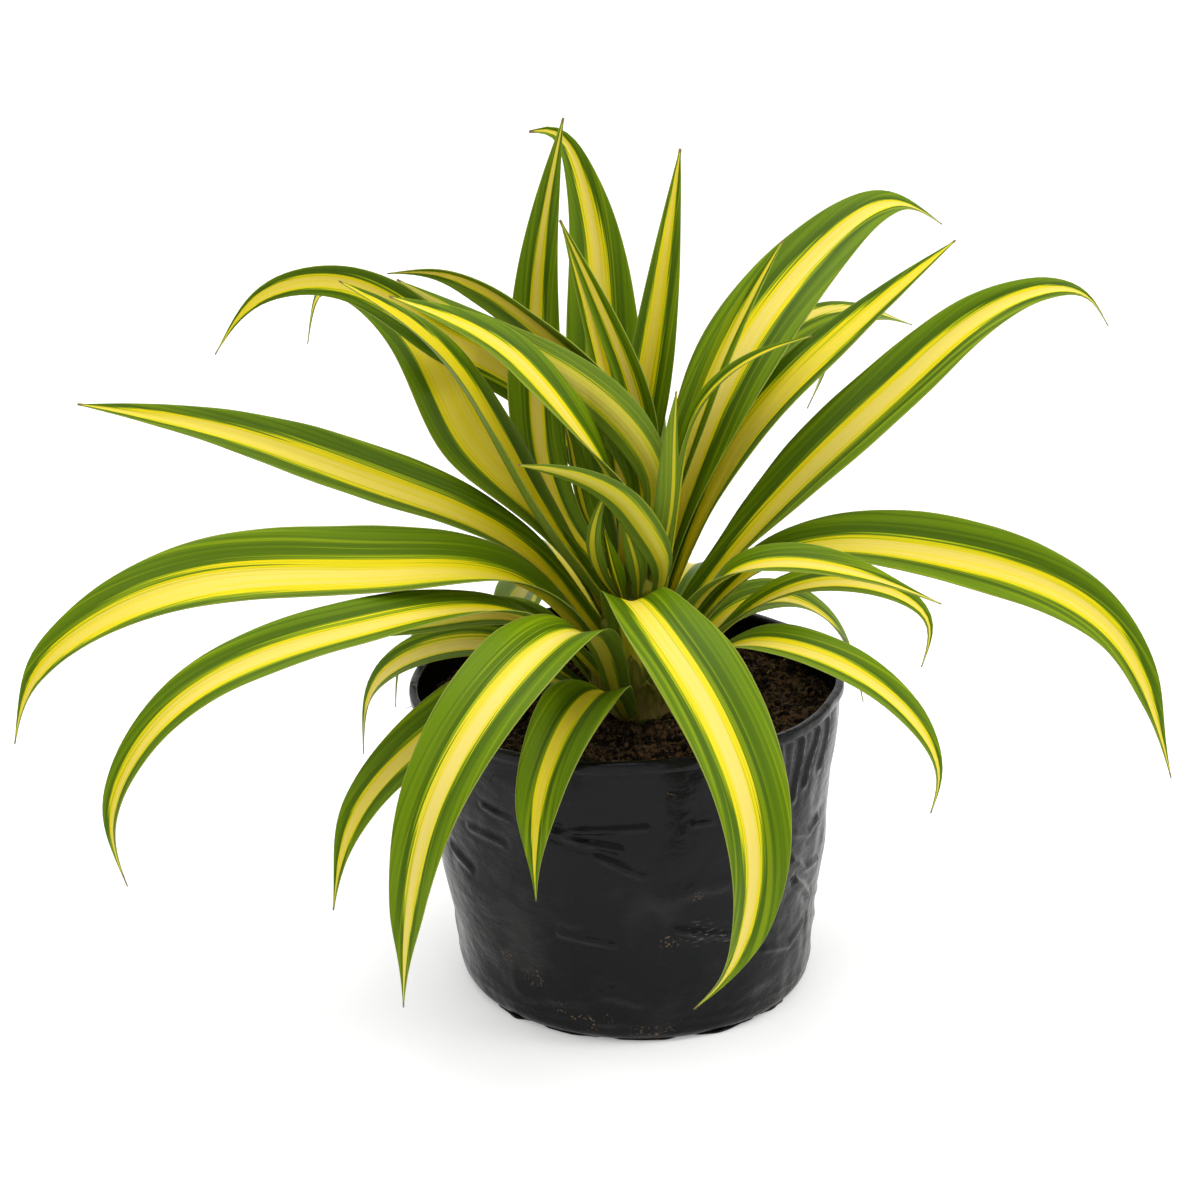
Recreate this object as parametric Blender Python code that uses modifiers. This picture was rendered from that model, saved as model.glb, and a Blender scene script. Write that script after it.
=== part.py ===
"""Potted spider plant: a rosette of broad, centre-striped leaves in a black film grow bag.

Metres, +Z up. The origin is the middle of the bag's flat underside. The plant's front faces -Y and its right
side is +X. Azimuths are degrees about +Z: 0 is +X, 90 is the back and 270 is the front.
"""

import math
from collections import namedtuple

import bmesh
import bpy
import numpy as np
from mathutils import Vector, noise

GAP = 0.0003

SOIL_TOP = 0.097
SOIL_MOUND = 0.003
SOIL_LUMP = 0.0016
SOIL_LUMPS_PER_METRE = 110
SOIL_RING_SHARES = (0, 0.12, 0.28, 0.46, 0.64, 0.80, 0.92, 1)
SOIL_HOLE_RADIUS = 0.0153

BAG_HEIGHT = 0.110
BAG_RIM_RADIUS = 0.075
BAG_BASE_RADIUS = 0.0607
BAG_FILM = 0.0008
BAG_EDGE_ROUNDING = 0.005
BAG_HEM_WIDTH = 0.0031
BAG_HEM_HEIGHT = 0.0034
BAG_HEM_STEP = 0.001
BAG_LEAN = -0.0039
BAG_RIM_TILT = 0.03
BAG_SIDES = 48
BAG_LEVELS = [BAG_EDGE_ROUNDING, 0.018, 0.032, 0.046, 0.060, 0.074, 0.088, SOIL_TOP, 0.104]
CREASE_DEPTH = 0.0009
CREASE_SPACING = 0.046
CREASE_FADE_AT_BASE = 0.012
CREASE_FADE_AT_HEM = 0.010

CROWN_TOP = 0.158
CROWN_FOOT_RADIUS = 0.0150
CROWN_TOP_RADIUS = 0.0028
CROWN_RELIEF = 0.0010
CROWN_SIDES = 30
CROWN_LEVELS = [0.105, 0.112, 0.120, 0.128, 0.136, 0.143, 0.149, 0.154]
SHEATHS_ROUND = 5
SHEATH_CLIMB = 160
ROOT_RADIUS = 0.0125
ROOT_DEPTH = 0.030

LEAF_THICKNESS = 0.0007
LEAF_ACROSS = 4
LEAF_STATION = 0.016
LEAF_FEWEST = 8
LEAF_MOST = 14
LEAF_TIP_WIDTH = 0.0008
LEAF_FOOT_WIDTH = 0.40
LEAF_WIDEST_AT = 0.42
LEAF_TAPER = 1.6
LEAF_FOOT_FOLD = 34.0
LEAF_OPEN_AT = 0.3
LEAF_ROLLED_AT = 0.7
LEAF_MIDRIB_ROUNDING = 0.02
LEAF_STANDOFF = 0.0026

GREEN = (0.115, 0.205, 0.020)
CROWN_GREEN = (0.270, 0.300, 0.060)
BLACK_FILM = (0.016, 0.017, 0.019)
POTTING_MIX = (0.030, 0.018, 0.011)

Leaf = namedtuple("Leaf", "name foot path width roll fold")

# Each leaf: its foot on the crown as (azimuth, height), the points that its midrib passes through as
# (azimuth, radius, height), its width, how far its face rolls round the midrib at the foot and at the tip,
# and how far each half folds up from flat.
LOW_LEAVES = [
    Leaf("leaf_front_left", (246, 0.106),
         [(246, 0.040, 0.139), (244, 0.090, 0.145), (240.5, 0.132, 0.114), (238, 0.142, 0.046)],
         0.030, (0, 15), 18),
    Leaf("leaf_front_short", (256, 0.102),
         [(254, 0.040, 0.120), (252, 0.074, 0.123), (251, 0.099, 0.106), (251, 0.103, 0.072)],
         0.025, (0, 10), 20),
    Leaf("leaf_left_low", (219, 0.104),
         [(218, 0.045, 0.120), (216, 0.086, 0.109), (216, 0.117, 0.084), (217, 0.126, 0.058)],
         0.023, (10, 25), 20),
    Leaf("leaf_left_narrow", (188, 0.110),
         [(187, 0.041, 0.133), (185, 0.070, 0.132), (184, 0.105, 0.126)],
         0.016, (10, 30), 24),
    Leaf("leaf_back_left_low", (174, 0.102),
         [(173, 0.045, 0.118), (172, 0.071, 0.116), (171, 0.093, 0.100), (171, 0.098, 0.074)],
         0.019, (10, 30), 20),
    Leaf("leaf_back_left_short", (156, 0.106),
         [(155, 0.040, 0.1245), (157, 0.066, 0.121), (160, 0.087, 0.107), (161, 0.091, 0.086)],
         0.016, (10, 20), 20),
    Leaf("leaf_right_low", (312, 0.106),
         [(312, 0.052, 0.137), (318, 0.081, 0.138), (322, 0.107, 0.126),
          (323, 0.121, 0.105), (322, 0.120, 0.092)],
         0.021, (0, -20), 20),
    Leaf("leaf_back_right_low", (44, 0.104),
         [(44, 0.040, 0.119), (41, 0.070, 0.121), (37, 0.090, 0.107), (35, 0.102, 0.076)],
         0.020, (0, -20), 20),
    Leaf("leaf_back_low", (78, 0.104),
         [(78, 0.050, 0.122), (76, 0.100, 0.114), (76, 0.130, 0.064)],
         0.026, (0, 0), 18),
    Leaf("leaf_back_hanging", (120, 0.104),
         [(118, 0.050, 0.120), (116, 0.095, 0.110), (115, 0.122, 0.062)],
         0.024, (0, 0), 18),
]

MIDDLE_LEAVES = [
    Leaf("leaf_left_broad", (206.5, 0.1200),
         [(203, 0.045, 0.151), (200, 0.092, 0.1595), (198, 0.150, 0.162),
          (197, 0.188, 0.149), (196.5, 0.206, 0.132), (196, 0.213, 0.110)],
         0.037, (7, 36), 22),
    Leaf("leaf_left_long", (222, 0.113),
         [(218, 0.050, 0.144), (215, 0.110, 0.152), (212, 0.178, 0.133),
          (211, 0.195, 0.103), (210, 0.190, 0.076)],
         0.024, (0, 32), 22),
    Leaf("leaf_left_straight", (164, 0.124),
         [(162, 0.042, 0.151), (164, 0.090, 0.170), (165, 0.150, 0.186), (166, 0.202, 0.193)],
         0.029, (5, 30), 24),
    Leaf("leaf_front_right", (270, 0.118),
         [(265, 0.030, 0.149), (277, 0.055, 0.148), (284, 0.082, 0.136), (288, 0.114, 0.100),
          (287, 0.117, 0.072), (283, 0.113, 0.049), (279, 0.110, 0.039)],
         0.036, (-5, 0), 18),
    Leaf("leaf_right_mid", (320, 0.122),
         [(322, 0.042, 0.158), (332, 0.072, 0.162), (338, 0.107, 0.152)],
         0.021, (0, -30), 22),
    Leaf("leaf_right_hook", (336, 0.114),
         [(342, 0.050, 0.146), (344, 0.083, 0.151), (344, 0.100, 0.141), (343, 0.099, 0.125)],
         0.017, (0, -30), 22),
    Leaf("leaf_right_arch", (4, 0.120),
         [(5, 0.045, 0.150), (4, 0.100, 0.152), (1, 0.163, 0.125), (-1, 0.186, 0.073)],
         0.032, (0, -45), 22),
    Leaf("leaf_right_long", (16, 0.128),
         [(17, 0.047, 0.164), (19, 0.098, 0.207), (20, 0.142, 0.232),
          (20, 0.166, 0.230), (20, 0.176, 0.218)],
         0.028, (-5, -35), 22),
    Leaf("leaf_back", (92, 0.124),
         [(92, 0.060, 0.156), (91, 0.120, 0.158), (90, 0.175, 0.092)],
         0.028, (0, 0), 20),
    Leaf("leaf_back_left", (128, 0.116),
         [(116, 0.050, 0.130), (108, 0.105, 0.122), (106, 0.155, 0.066)],
         0.026, (0, 0), 20),
    Leaf("leaf_back_right_hook", (64, 0.130),
         [(62, 0.060, 0.183), (61, 0.120, 0.205), (60, 0.142, 0.189), (60, 0.128, 0.172)],
         0.015, (0, -20), 22),
]

UPPER_LEAVES = [
    Leaf("leaf_right_straight", (17, 0.138),
         [(26, 0.042, 0.191), (28, 0.073, 0.216), (30, 0.128, 0.248)],
         0.021, (-8, -30), 24),
    Leaf("leaf_right_high", (46, 0.142),
         [(44, 0.046, 0.211), (45, 0.093, 0.2455), (44, 0.128, 0.255), (43, 0.151, 0.244)],
         0.031, (-5, -33), 22),
    Leaf("leaf_right_slim", (40, 0.152),
         [(32, 0.020, 0.190), (30, 0.032, 0.219), (30, 0.056, 0.257)],
         0.015, (0, -10), 30),
    Leaf("leaf_back_right_arch", (61, 0.134),
         [(54, 0.050, 0.190), (50, 0.110, 0.214), (50, 0.160, 0.201)],
         0.022, (0, -20), 22),
    Leaf("leaf_right_thin", (350, 0.146),
         [(356, 0.014, 0.178), (3, 0.019, 0.203), (354, 0.041, 0.227), (352, 0.057, 0.234)],
         0.011, (0, -20), 30),
    Leaf("leaf_left_arch", (123, 0.134),
         [(110, 0.046, 0.169), (122, 0.068, 0.196), (148, 0.082, 0.221),
          (160, 0.106, 0.240), (166, 0.133, 0.236), (169, 0.147, 0.217)],
         0.021, (4, 35), 20),
    Leaf("leaf_left_wide", (141, 0.1285),
         [(144, 0.034, 0.154), (145, 0.073, 0.183), (145, 0.101, 0.220),
          (147, 0.130, 0.229), (147, 0.140, 0.207)],
         0.028, (0, 30), 22),
    Leaf("leaf_left_pale", (290, 0.157),
         [(318, 0.008, 0.182), (176, 0.013, 0.209), (162, 0.0445, 0.2245), (160, 0.087, 0.243)],
         0.0175, (12, 35), 24),
    Leaf("leaf_left_second_arch", (75, 0.156),
         [(76, 0.0095, 0.179), (117, 0.0132, 0.199), (142, 0.0455, 0.228),
          (147, 0.085, 0.241), (149, 0.101, 0.239)],
         0.0235, (6, 40), 22),
    Leaf("leaf_front_arch", (222, 0.147),
         [(238, 0.0145, 0.180), (210, 0.026, 0.205), (194, 0.045, 0.229), (192, 0.083, 0.250)],
         0.029, (10, 58), 16),
    Leaf("leaf_back_upper", (90, 0.131),
         [(88, 0.042, 0.163), (89, 0.090, 0.178), (90, 0.150, 0.139)],
         0.019, (0, 0), 22),
    Leaf("leaf_left_front", (192, 0.138),
         [(180, 0.028, 0.158), (175, 0.044, 0.184), (172, 0.057, 0.207),
          (174, 0.070, 0.226), (179, 0.099, 0.250)],
         0.031, (8, 14), 24),
]

INNER_LEAVES = [
    Leaf("leaf_tall_left", (140, 0.143),
         [(138.5, 0.033, 0.158), (134, 0.048, 0.175), (128, 0.059, 0.200),
          (123.5, 0.062, 0.247), (117, 0.056, 0.294)],
         0.022, (15, 32), 26),
    Leaf("leaf_tall_back", (100, 0.141),
         [(104, 0.047, 0.195), (103, 0.060, 0.230), (106, 0.074, 0.270),
          (112, 0.080, 0.284), (117, 0.083, 0.284)],
         0.030, (0, 0), 24),
    Leaf("leaf_tall_right", (100, 0.1455),
         [(92, 0.026, 0.178), (85, 0.033, 0.205), (75, 0.037, 0.252), (70, 0.041, 0.286)],
         0.018, (0, 0), 28),
    Leaf("leaf_folded_front", (90, 0.150),
         [(84, 0.017, 0.191), (124, 0.0235, 0.237), (143, 0.033, 0.266)],
         0.014, (0, 0), 40),
    Leaf("leaf_folded_back", (120, 0.148),
         [(110, 0.0225, 0.189), (121, 0.033, 0.231), (133, 0.037, 0.261)],
         0.015, (0, 0), 34),
    Leaf("leaf_inner_left", (300, 0.142),
         [(290, 0.022, 0.160), (274, 0.024, 0.172), (256, 0.029, 0.184),
          (237, 0.038, 0.193), (223, 0.054, 0.199)],
         0.0125, (0, 20), 26),
    Leaf("leaf_bud", (316, 0.150),
         [(312, 0.0165, 0.180), (314, 0.0165, 0.200), (317, 0.0165, 0.216)],
         0.013, (0, 0), 30),
    Leaf("leaf_heart_left", (220, 0.143),
         [(224.5, 0.022, 0.159), (229, 0.024, 0.170), (235, 0.0185, 0.183)],
         0.0095, (0, 0), 32),
    Leaf("leaf_heart_front", (243, 0.142),
         [(241, 0.0180, 0.156), (236, 0.021, 0.170)],
         0.007, (0, 0), 30),
    Leaf("leaf_heart_right", (269, 0.144),
         [(267, 0.0185, 0.158), (261, 0.0205, 0.167), (253, 0.021, 0.177)],
         0.008, (0, 0), 32),
    Leaf("leaf_heart_back", (160, 0.150),
         [(150, 0.018, 0.162), (142, 0.024, 0.171), (138, 0.030, 0.186), (138.5, 0.034, 0.197)],
         0.010, (10, 30), 28),
]

LEAVES = LOW_LEAVES + MIDDLE_LEAVES + UPPER_LEAVES + INNER_LEAVES


def clear_scene():
    for item in list(bpy.data.objects):
        bpy.data.objects.remove(item, do_unlink=True)


def make_material(name, colour, roughness):
    material = bpy.data.materials.new(name)
    material.use_nodes = True
    shader = material.node_tree.nodes["Principled BSDF"]
    shader.inputs["Base Color"].default_value = (*colour, 1)
    shader.inputs["Roughness"].default_value = roughness
    shader.inputs["Metallic"].default_value = 0
    material.diffuse_color = (*colour, 1)
    return material


def make_object(name, bm, material, collection):
    mesh = bpy.data.meshes.new(name)
    bm.to_mesh(mesh)
    bm.free()
    mesh.materials.append(material)
    mesh.shade_smooth()
    mesh.set_sharp_from_angle(angle=math.radians(40))
    made = bpy.data.objects.new(name, mesh)
    collection.objects.link(made)
    return made


def polar(azimuth, radius, height):
    turn = math.radians(azimuth)
    return np.array([radius * math.cos(turn), radius * math.sin(turn), height])


def smooth(x):
    x = np.clip(x, 0, 1)
    return x * x * (3 - 2 * x)


def turned(profile, sides):
    """A bmesh of the (radius, height) profile spun once about Z, closed where it meets the axis."""
    bm = bmesh.new()
    points = [bm.verts.new((radius, 0, height)) for radius, height in profile]
    edges = [bm.edges.new(pair) for pair in zip(points, points[1:])]
    bmesh.ops.spin(bm, geom=points + edges, cent=(0, 0, 0), axis=(0, 0, 1), angle=2 * math.pi,
                   steps=sides, use_merge=True, use_duplicate=False)
    bmesh.ops.remove_doubles(bm, verts=bm.verts, dist=1e-6)
    bmesh.ops.recalc_face_normals(bm, faces=bm.faces)
    return bm


def bag_radius(height):
    """The outer radius of the film wall below the hem."""
    rise = height / BAG_HEIGHT
    wall = BAG_BASE_RADIUS + (BAG_RIM_RADIUS - BAG_HEM_STEP - BAG_BASE_RADIUS) * rise ** 0.9
    drop = max(0.0, BAG_EDGE_ROUNDING - height)
    return wall - BAG_EDGE_ROUNDING + math.sqrt(max(0.0, BAG_EDGE_ROUNDING ** 2 - drop ** 2))


def film_crease(turn, height):
    """How far the filled film bulges out or in, nothing at the base and at the hem."""
    held = smooth(height / CREASE_FADE_AT_BASE)
    held *= smooth((BAG_HEIGHT - BAG_HEM_HEIGHT - height) / CREASE_FADE_AT_HEM)
    across = math.sin(2 * math.pi * height / CREASE_SPACING + 2.0 * math.sin(2 * turn + 0.7))
    upright = math.sin(7 * turn + 30 * height) * 0.5 + math.sin(3 * turn - 1.1) * 0.6
    return float(CREASE_DEPTH * held * (0.6 * across + 0.7 * upright))


def settle_bag(point):
    """Moves a point of the upright round bag, or of its filling, to where the leaning, creased bag has it."""
    radius = math.hypot(point.x, point.y)
    rise = min(max(point.z / BAG_HEIGHT, 0), 1)
    share = float(smooth((radius - SOIL_HOLE_RADIUS) / (BAG_BASE_RADIUS - SOIL_HOLE_RADIUS)))
    if share > 0.9:
        grown = 1 + film_crease(math.atan2(point.y, point.x), point.z) / radius
        point.x *= grown
        point.y *= grown
    point.z += BAG_RIM_TILT * point.x * rise ** 3
    point.x += BAG_LEAN * rise * share


def bag_profile():
    """Inside floor, up the inside, over the hem, down the outside and back along the underside."""
    hem_low = BAG_HEIGHT - BAG_HEM_HEIGHT
    inside = [(0, BAG_FILM), (BAG_BASE_RADIUS - BAG_EDGE_ROUNDING, BAG_FILM)]
    inside += [(bag_radius(level) - BAG_FILM, level) for level in BAG_LEVELS]
    inner_hem = BAG_RIM_RADIUS - BAG_HEM_WIDTH
    corner = BAG_HEM_STEP * 0.7
    hem = [
        (inner_hem, hem_low + corner),
        (inner_hem, BAG_HEIGHT - corner),
        (inner_hem + corner, BAG_HEIGHT),
        (BAG_RIM_RADIUS - corner, BAG_HEIGHT),
        (BAG_RIM_RADIUS, BAG_HEIGHT - corner),
        (BAG_RIM_RADIUS, hem_low + corner),
        (bag_radius(hem_low), hem_low),
    ]
    outside = [(bag_radius(level), level) for level in reversed(BAG_LEVELS)]
    rounding = [BAG_EDGE_ROUNDING * share for share in (0.5, 0.15, 0)]
    outside += [(bag_radius(level), level) for level in rounding]
    return inside + hem + outside + [(0, 0)]


def make_bag(collection):
    bm = turned(bag_profile(), BAG_SIDES)
    for vert in bm.verts:
        settle_bag(vert.co)
    return make_object("grow_bag", bm, make_material("black_film", BLACK_FILM, 0.35), collection)


def soil_height(x, y):
    mound = SOIL_MOUND * (1 - (math.hypot(x, y) / BAG_RIM_RADIUS) ** 2)
    place = Vector((x * SOIL_LUMPS_PER_METRE, y * SOIL_LUMPS_PER_METRE, 0.5))
    return SOIL_TOP + mound + SOIL_LUMP * noise.noise(place)


def make_soil(collection):
    """A solid plug of potting mix with a plain hole for the rootstock."""
    hole = SOIL_HOLE_RADIUS
    floor = BAG_FILM + GAP
    hole_bottom = SOIL_TOP - ROOT_DEPTH - GAP
    clearance = BAG_FILM + 2 * GAP
    edge = bag_radius(SOIL_TOP) - clearance - GAP
    rings = [hole + (edge - hole) * share for share in SOIL_RING_SHARES]
    profile = [(0, hole_bottom), (hole, hole_bottom)]
    profile += [(ring, SOIL_TOP) for ring in rings]
    profile += [(bag_radius(level) - clearance, level) for level in reversed(BAG_LEVELS) if level < SOIL_TOP]
    profile += [(BAG_BASE_RADIUS - BAG_EDGE_ROUNDING - GAP, floor), (0, floor)]
    bm = turned(profile, BAG_SIDES)
    for vert in bm.verts:
        if abs(vert.co.z - SOIL_TOP) < 1e-5:
            vert.co.z = soil_height(vert.co.x, vert.co.y)
        settle_bag(vert.co)
    return make_object("soil", bm, make_material("potting_mix", POTTING_MIX, 0.95), collection)


def crown_radius(height):
    rise = min(max((height - SOIL_TOP) / (CROWN_TOP - SOIL_TOP), 0), 1)
    return CROWN_TOP_RADIUS + (CROWN_FOOT_RADIUS - CROWN_TOP_RADIUS) * math.cos(rise * math.pi / 2) ** 0.8


def make_crown(collection):
    """The rootstock in the soil, and above it the short stem whose sheaths wrap round in a spiral."""
    profile = [(0, CROWN_TOP), (CROWN_TOP_RADIUS * 0.6, CROWN_TOP)]
    profile += [(crown_radius(level), level) for level in reversed(CROWN_LEVELS)]
    root_bottom = SOIL_TOP - ROOT_DEPTH
    profile += [(CROWN_FOOT_RADIUS - CROWN_RELIEF, SOIL_TOP + SOIL_MOUND), (ROOT_RADIUS, SOIL_TOP - 0.008)]
    profile += [(ROOT_RADIUS * 0.8, root_bottom + 0.006), (ROOT_RADIUS * 0.45, root_bottom), (0, root_bottom)]
    bm = turned(profile, CROWN_SIDES)
    for vert in bm.verts:
        radius = math.hypot(vert.co.x, vert.co.y)
        if radius < 1e-4 or vert.co.z < SOIL_TOP:
            continue
        turn = math.atan2(vert.co.y, vert.co.x)
        sheath = abs(math.sin(SHEATHS_ROUND * turn / 2 + SHEATH_CLIMB * vert.co.z)) - 0.5
        grown = 1 + CROWN_RELIEF * sheath / radius
        vert.co.x *= grown
        vert.co.y *= grown
    return make_object("crown", bm, make_material("crown_sheaths", CROWN_GREEN, 0.5), collection)


def spline(points, count):
    """Evenly spaced points on the natural cubic spline through the given points."""
    points = np.asarray(points)
    knots = np.concatenate([[0], np.cumsum(np.linalg.norm(np.diff(points, axis=0), axis=1))])
    steps = np.diff(knots)
    last = len(points) - 1
    matrix = np.eye(last + 1)
    bends = np.zeros_like(points)
    for i in range(1, last):
        matrix[i, i - 1:i + 2] = steps[i - 1], 2 * (steps[i - 1] + steps[i]), steps[i]
        slopes = (points[i + 1] - points[i]) / steps[i] - (points[i] - points[i - 1]) / steps[i - 1]
        bends[i] = 6 * slopes
    bends = np.linalg.solve(matrix, bends)

    def at(values):
        i = np.clip(np.searchsorted(knots, values, side="right") - 1, 0, last - 1)
        step = steps[i][:, None]
        ahead = (knots[i + 1] - values)[:, None]
        behind = (values - knots[i])[:, None]
        cubic = (bends[i] * ahead ** 3 + bends[i + 1] * behind ** 3) / (6 * step)
        left = (points[i] / step - bends[i] * step / 6) * ahead
        right = (points[i + 1] / step - bends[i + 1] * step / 6) * behind
        return cubic + left + right

    fine = np.linspace(0, knots[-1], 400)
    walked = np.concatenate([[0], np.cumsum(np.linalg.norm(np.diff(at(fine), axis=0), axis=1))])
    return at(np.interp(np.linspace(0, walked[-1], count), walked, fine)), walked[-1]


def leaf_foot(leaf):
    azimuth, height = leaf.foot
    return polar(azimuth, crown_radius(height) + LEAF_STANDOFF, height)


def leaf_midrib(leaf, count):
    return spline([leaf_foot(leaf)] + [polar(*point) for point in leaf.path], count)


def half_width(leaf, share):
    """Half the blade's width at a share of its length: a narrow foot, a broad middle and a long fine tip."""
    swell = LEAF_FOOT_WIDTH + (1 - LEAF_FOOT_WIDTH) * smooth(share / LEAF_WIDEST_AT)
    fall = np.clip((share - LEAF_WIDEST_AT) / (1 - LEAF_WIDEST_AT), 0, 1)
    taper = 1 - fall ** LEAF_TAPER
    return np.maximum(leaf.width * swell * taper, LEAF_TIP_WIDTH) / 2


def leaf_frames(leaf, centres):
    """The side and face directions along the midrib, carried along without twist and then rolled."""
    tangents = np.gradient(centres, axis=0)
    tangents /= np.linalg.norm(tangents, axis=1)[:, None]
    turn = math.radians(leaf.foot[0])
    side = np.array([-math.sin(turn), math.cos(turn), 0.0])
    count = len(centres)
    sides, faces = np.empty((count, 3)), np.empty((count, 3))
    for i, tangent in enumerate(tangents):
        side = side - tangent * (side @ tangent)
        side /= np.linalg.norm(side)
        share = i / (count - 1)
        rolled = float(smooth(share / LEAF_ROLLED_AT))
        roll = math.radians(leaf.roll[0] + (leaf.roll[1] - leaf.roll[0]) * rolled)
        face = np.cross(tangent, side)
        sides[i] = side * math.cos(roll) - face * math.sin(roll)
        faces[i] = face * math.cos(roll) + side * math.sin(roll)
    return sides, faces


def leaf_surface(leaf, count):
    """A function from (share of length, -1 to 1 across) to a point on the blade, and the blade's length."""
    centres, length = leaf_midrib(leaf, count)
    sides, faces = leaf_frames(leaf, centres)
    shares = np.linspace(0, 1, count)
    halves = half_width(leaf, shares)
    folds = np.radians(leaf.fold + (LEAF_FOOT_FOLD - leaf.fold) * (1 - smooth(shares / LEAF_OPEN_AT)))

    def at(share, across):
        i = int(round(share * (count - 1)))
        lift = math.sqrt(across ** 2 + LEAF_MIDRIB_ROUNDING) - math.sqrt(LEAF_MIDRIB_ROUNDING)
        out = sides[i] * across * math.cos(folds[i]) + faces[i] * lift * math.sin(folds[i])
        return centres[i] + out * halves[i]

    return at, length


def make_leaf(leaf, material, collection):
    length = leaf_midrib(leaf, 2)[1]
    stations = min(max(round(length / LEAF_STATION), LEAF_FEWEST), LEAF_MOST)
    at, _ = leaf_surface(leaf, stations + 1)
    bm = bmesh.new()
    bmesh.ops.create_grid(bm, x_segments=stations, y_segments=LEAF_ACROSS, size=0.5)
    for vert in bm.verts:
        vert.co = at(vert.co.x + 0.5, 2 * vert.co.y)
    bmesh.ops.triangulate(bm, faces=bm.faces, quad_method="FIXED")
    made = make_object(leaf.name, bm, material, collection)
    thicken = made.modifiers.new("thickness", "SOLIDIFY")
    thicken.thickness = LEAF_THICKNESS
    thicken.offset = 0
    return made


def main():
    clear_scene()
    collection = bpy.data.collections.new("potted_spider_plant")
    bpy.context.scene.collection.children.link(collection)
    make_bag(collection)
    make_soil(collection)
    make_crown(collection)
    green = make_material("striped_leaf", GREEN, 0.4)
    for leaf in LEAVES:
        make_leaf(leaf, green, collection)


if __name__ == "__main__":
    main()
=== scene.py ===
# %% [markdown]
# # A potted spider plant
# The plant is a rosette of about forty long leaves that all grow from one short crown. Each leaf is broad
# for a spider plant, green at its margins and yellow along its middle, and it arches over under its own
# weight. The crown stands in dark potting mix, in a black film bag such as a nursery sells. The solids of
# the plant are loaded first. They fix the size and the place of every piece, and finer pieces then take the
# place of each of them.

# %% Load the solids
import math
import random
from collections import namedtuple

import bmesh
import bpy
import numpy as np
from mathutils import Matrix, Vector, noise


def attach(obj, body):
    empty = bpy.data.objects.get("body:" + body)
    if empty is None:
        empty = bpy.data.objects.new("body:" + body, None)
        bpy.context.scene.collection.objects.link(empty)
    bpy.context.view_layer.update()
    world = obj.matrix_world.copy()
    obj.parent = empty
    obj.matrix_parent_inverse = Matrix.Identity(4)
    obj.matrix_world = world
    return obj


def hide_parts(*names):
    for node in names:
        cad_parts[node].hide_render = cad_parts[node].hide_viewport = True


MM = 0.001

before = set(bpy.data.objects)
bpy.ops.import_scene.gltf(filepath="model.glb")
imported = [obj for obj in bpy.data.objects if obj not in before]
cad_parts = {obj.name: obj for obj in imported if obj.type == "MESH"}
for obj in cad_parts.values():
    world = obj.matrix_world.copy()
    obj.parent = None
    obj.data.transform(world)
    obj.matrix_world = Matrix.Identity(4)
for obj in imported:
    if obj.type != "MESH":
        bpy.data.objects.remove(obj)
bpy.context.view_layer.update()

# %% [markdown]
# ## Camera
# The photograph looks down on the plant by about twenty degrees with a long lens, so the bag's rim is a
# flat ellipse and the leaves keep their sizes from front to back. A level camera would hide the soil, and a
# wide lens would swell the front leaves. The lens and the place below were worked out from the ellipses of
# rim and base.

# %% Camera
CAMERA_PLACE = (-0.013, -1.000, 0.518)
CAMERA_PITCH = 20.8
SENSOR_WIDTH = 36.0
FOCAL_PIXELS = 3130
FRAME_PIXELS = 1200

camera_data = bpy.data.cameras.new("camera")
camera_data.sensor_width = SENSOR_WIDTH
camera_data.lens = FOCAL_PIXELS / FRAME_PIXELS * SENSOR_WIDTH
camera = bpy.data.objects.new("camera", camera_data)
camera.location = CAMERA_PLACE
camera.rotation_euler = (math.radians(90 - CAMERA_PITCH), 0, 0)
bpy.context.scene.collection.objects.link(camera)
bpy.context.scene.camera = camera
print("lens", round(camera_data.lens, 1), "mm")

# %% [markdown]
# ## Studio
# The plant was shot on a seamless white sweep, with soft light from above and behind and a little more of
# it from the right. A large softbox is the way to get shadows that fade out within a few centimetres of the
# bag, and a weak one high in front lifts the shade in the heart of the plant. What is left dark matters as
# much as the lamps: a glossy leaf and a black film show mostly what they mirror, and a white room on all
# sides would turn them grey. So the room is bright above and behind, and dimmer in front.

# %% Floor
FLOOR_RADIUS = 4.0
FLOOR_WHITE = (0.78, 0.78, 0.785)
# The sweep is lit from below as well, which is what burns it out to white around the shadow.
FLOOR_GLOW = 0.29


def join(name, bm, material=None):
    """Makes an object of a bmesh, shaded smooth, at the origin."""
    mesh = bpy.data.meshes.new(name)
    bm.to_mesh(mesh)
    bm.free()
    mesh.shade_smooth()
    made = bpy.data.objects.new(name, mesh)
    bpy.context.scene.collection.objects.link(made)
    if material:
        mesh.materials.append(material)
    return made


floor_finish = bpy.data.materials.new("white_sweep")
floor_finish.use_nodes = True
floor_shader = floor_finish.node_tree.nodes["Principled BSDF"]
floor_shader.inputs["Base Color"].default_value = (*FLOOR_WHITE, 1)
floor_shader.inputs["Roughness"].default_value = 0.9
floor_shader.inputs["Specular IOR Level"].default_value = 0.1
floor_shader.inputs["Emission Color"].default_value = (1, 1, 1, 1)
floor_shader.inputs["Emission Strength"].default_value = FLOOR_GLOW
bm = bmesh.new()
bmesh.ops.create_circle(bm, cap_ends=True, segments=96, radius=FLOOR_RADIUS)
floor = join("sweep", bm, floor_finish)
print("floor", FLOOR_RADIUS, "m round")

# %% The room
ROOM_DIM = 0.62
ROOM_BRIGHT = 1.10
# From this far towards the front to this far towards the back, the room turns from dim to bright.
DIM_BEFORE = -0.75
BRIGHT_FROM = 0.25

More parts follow.
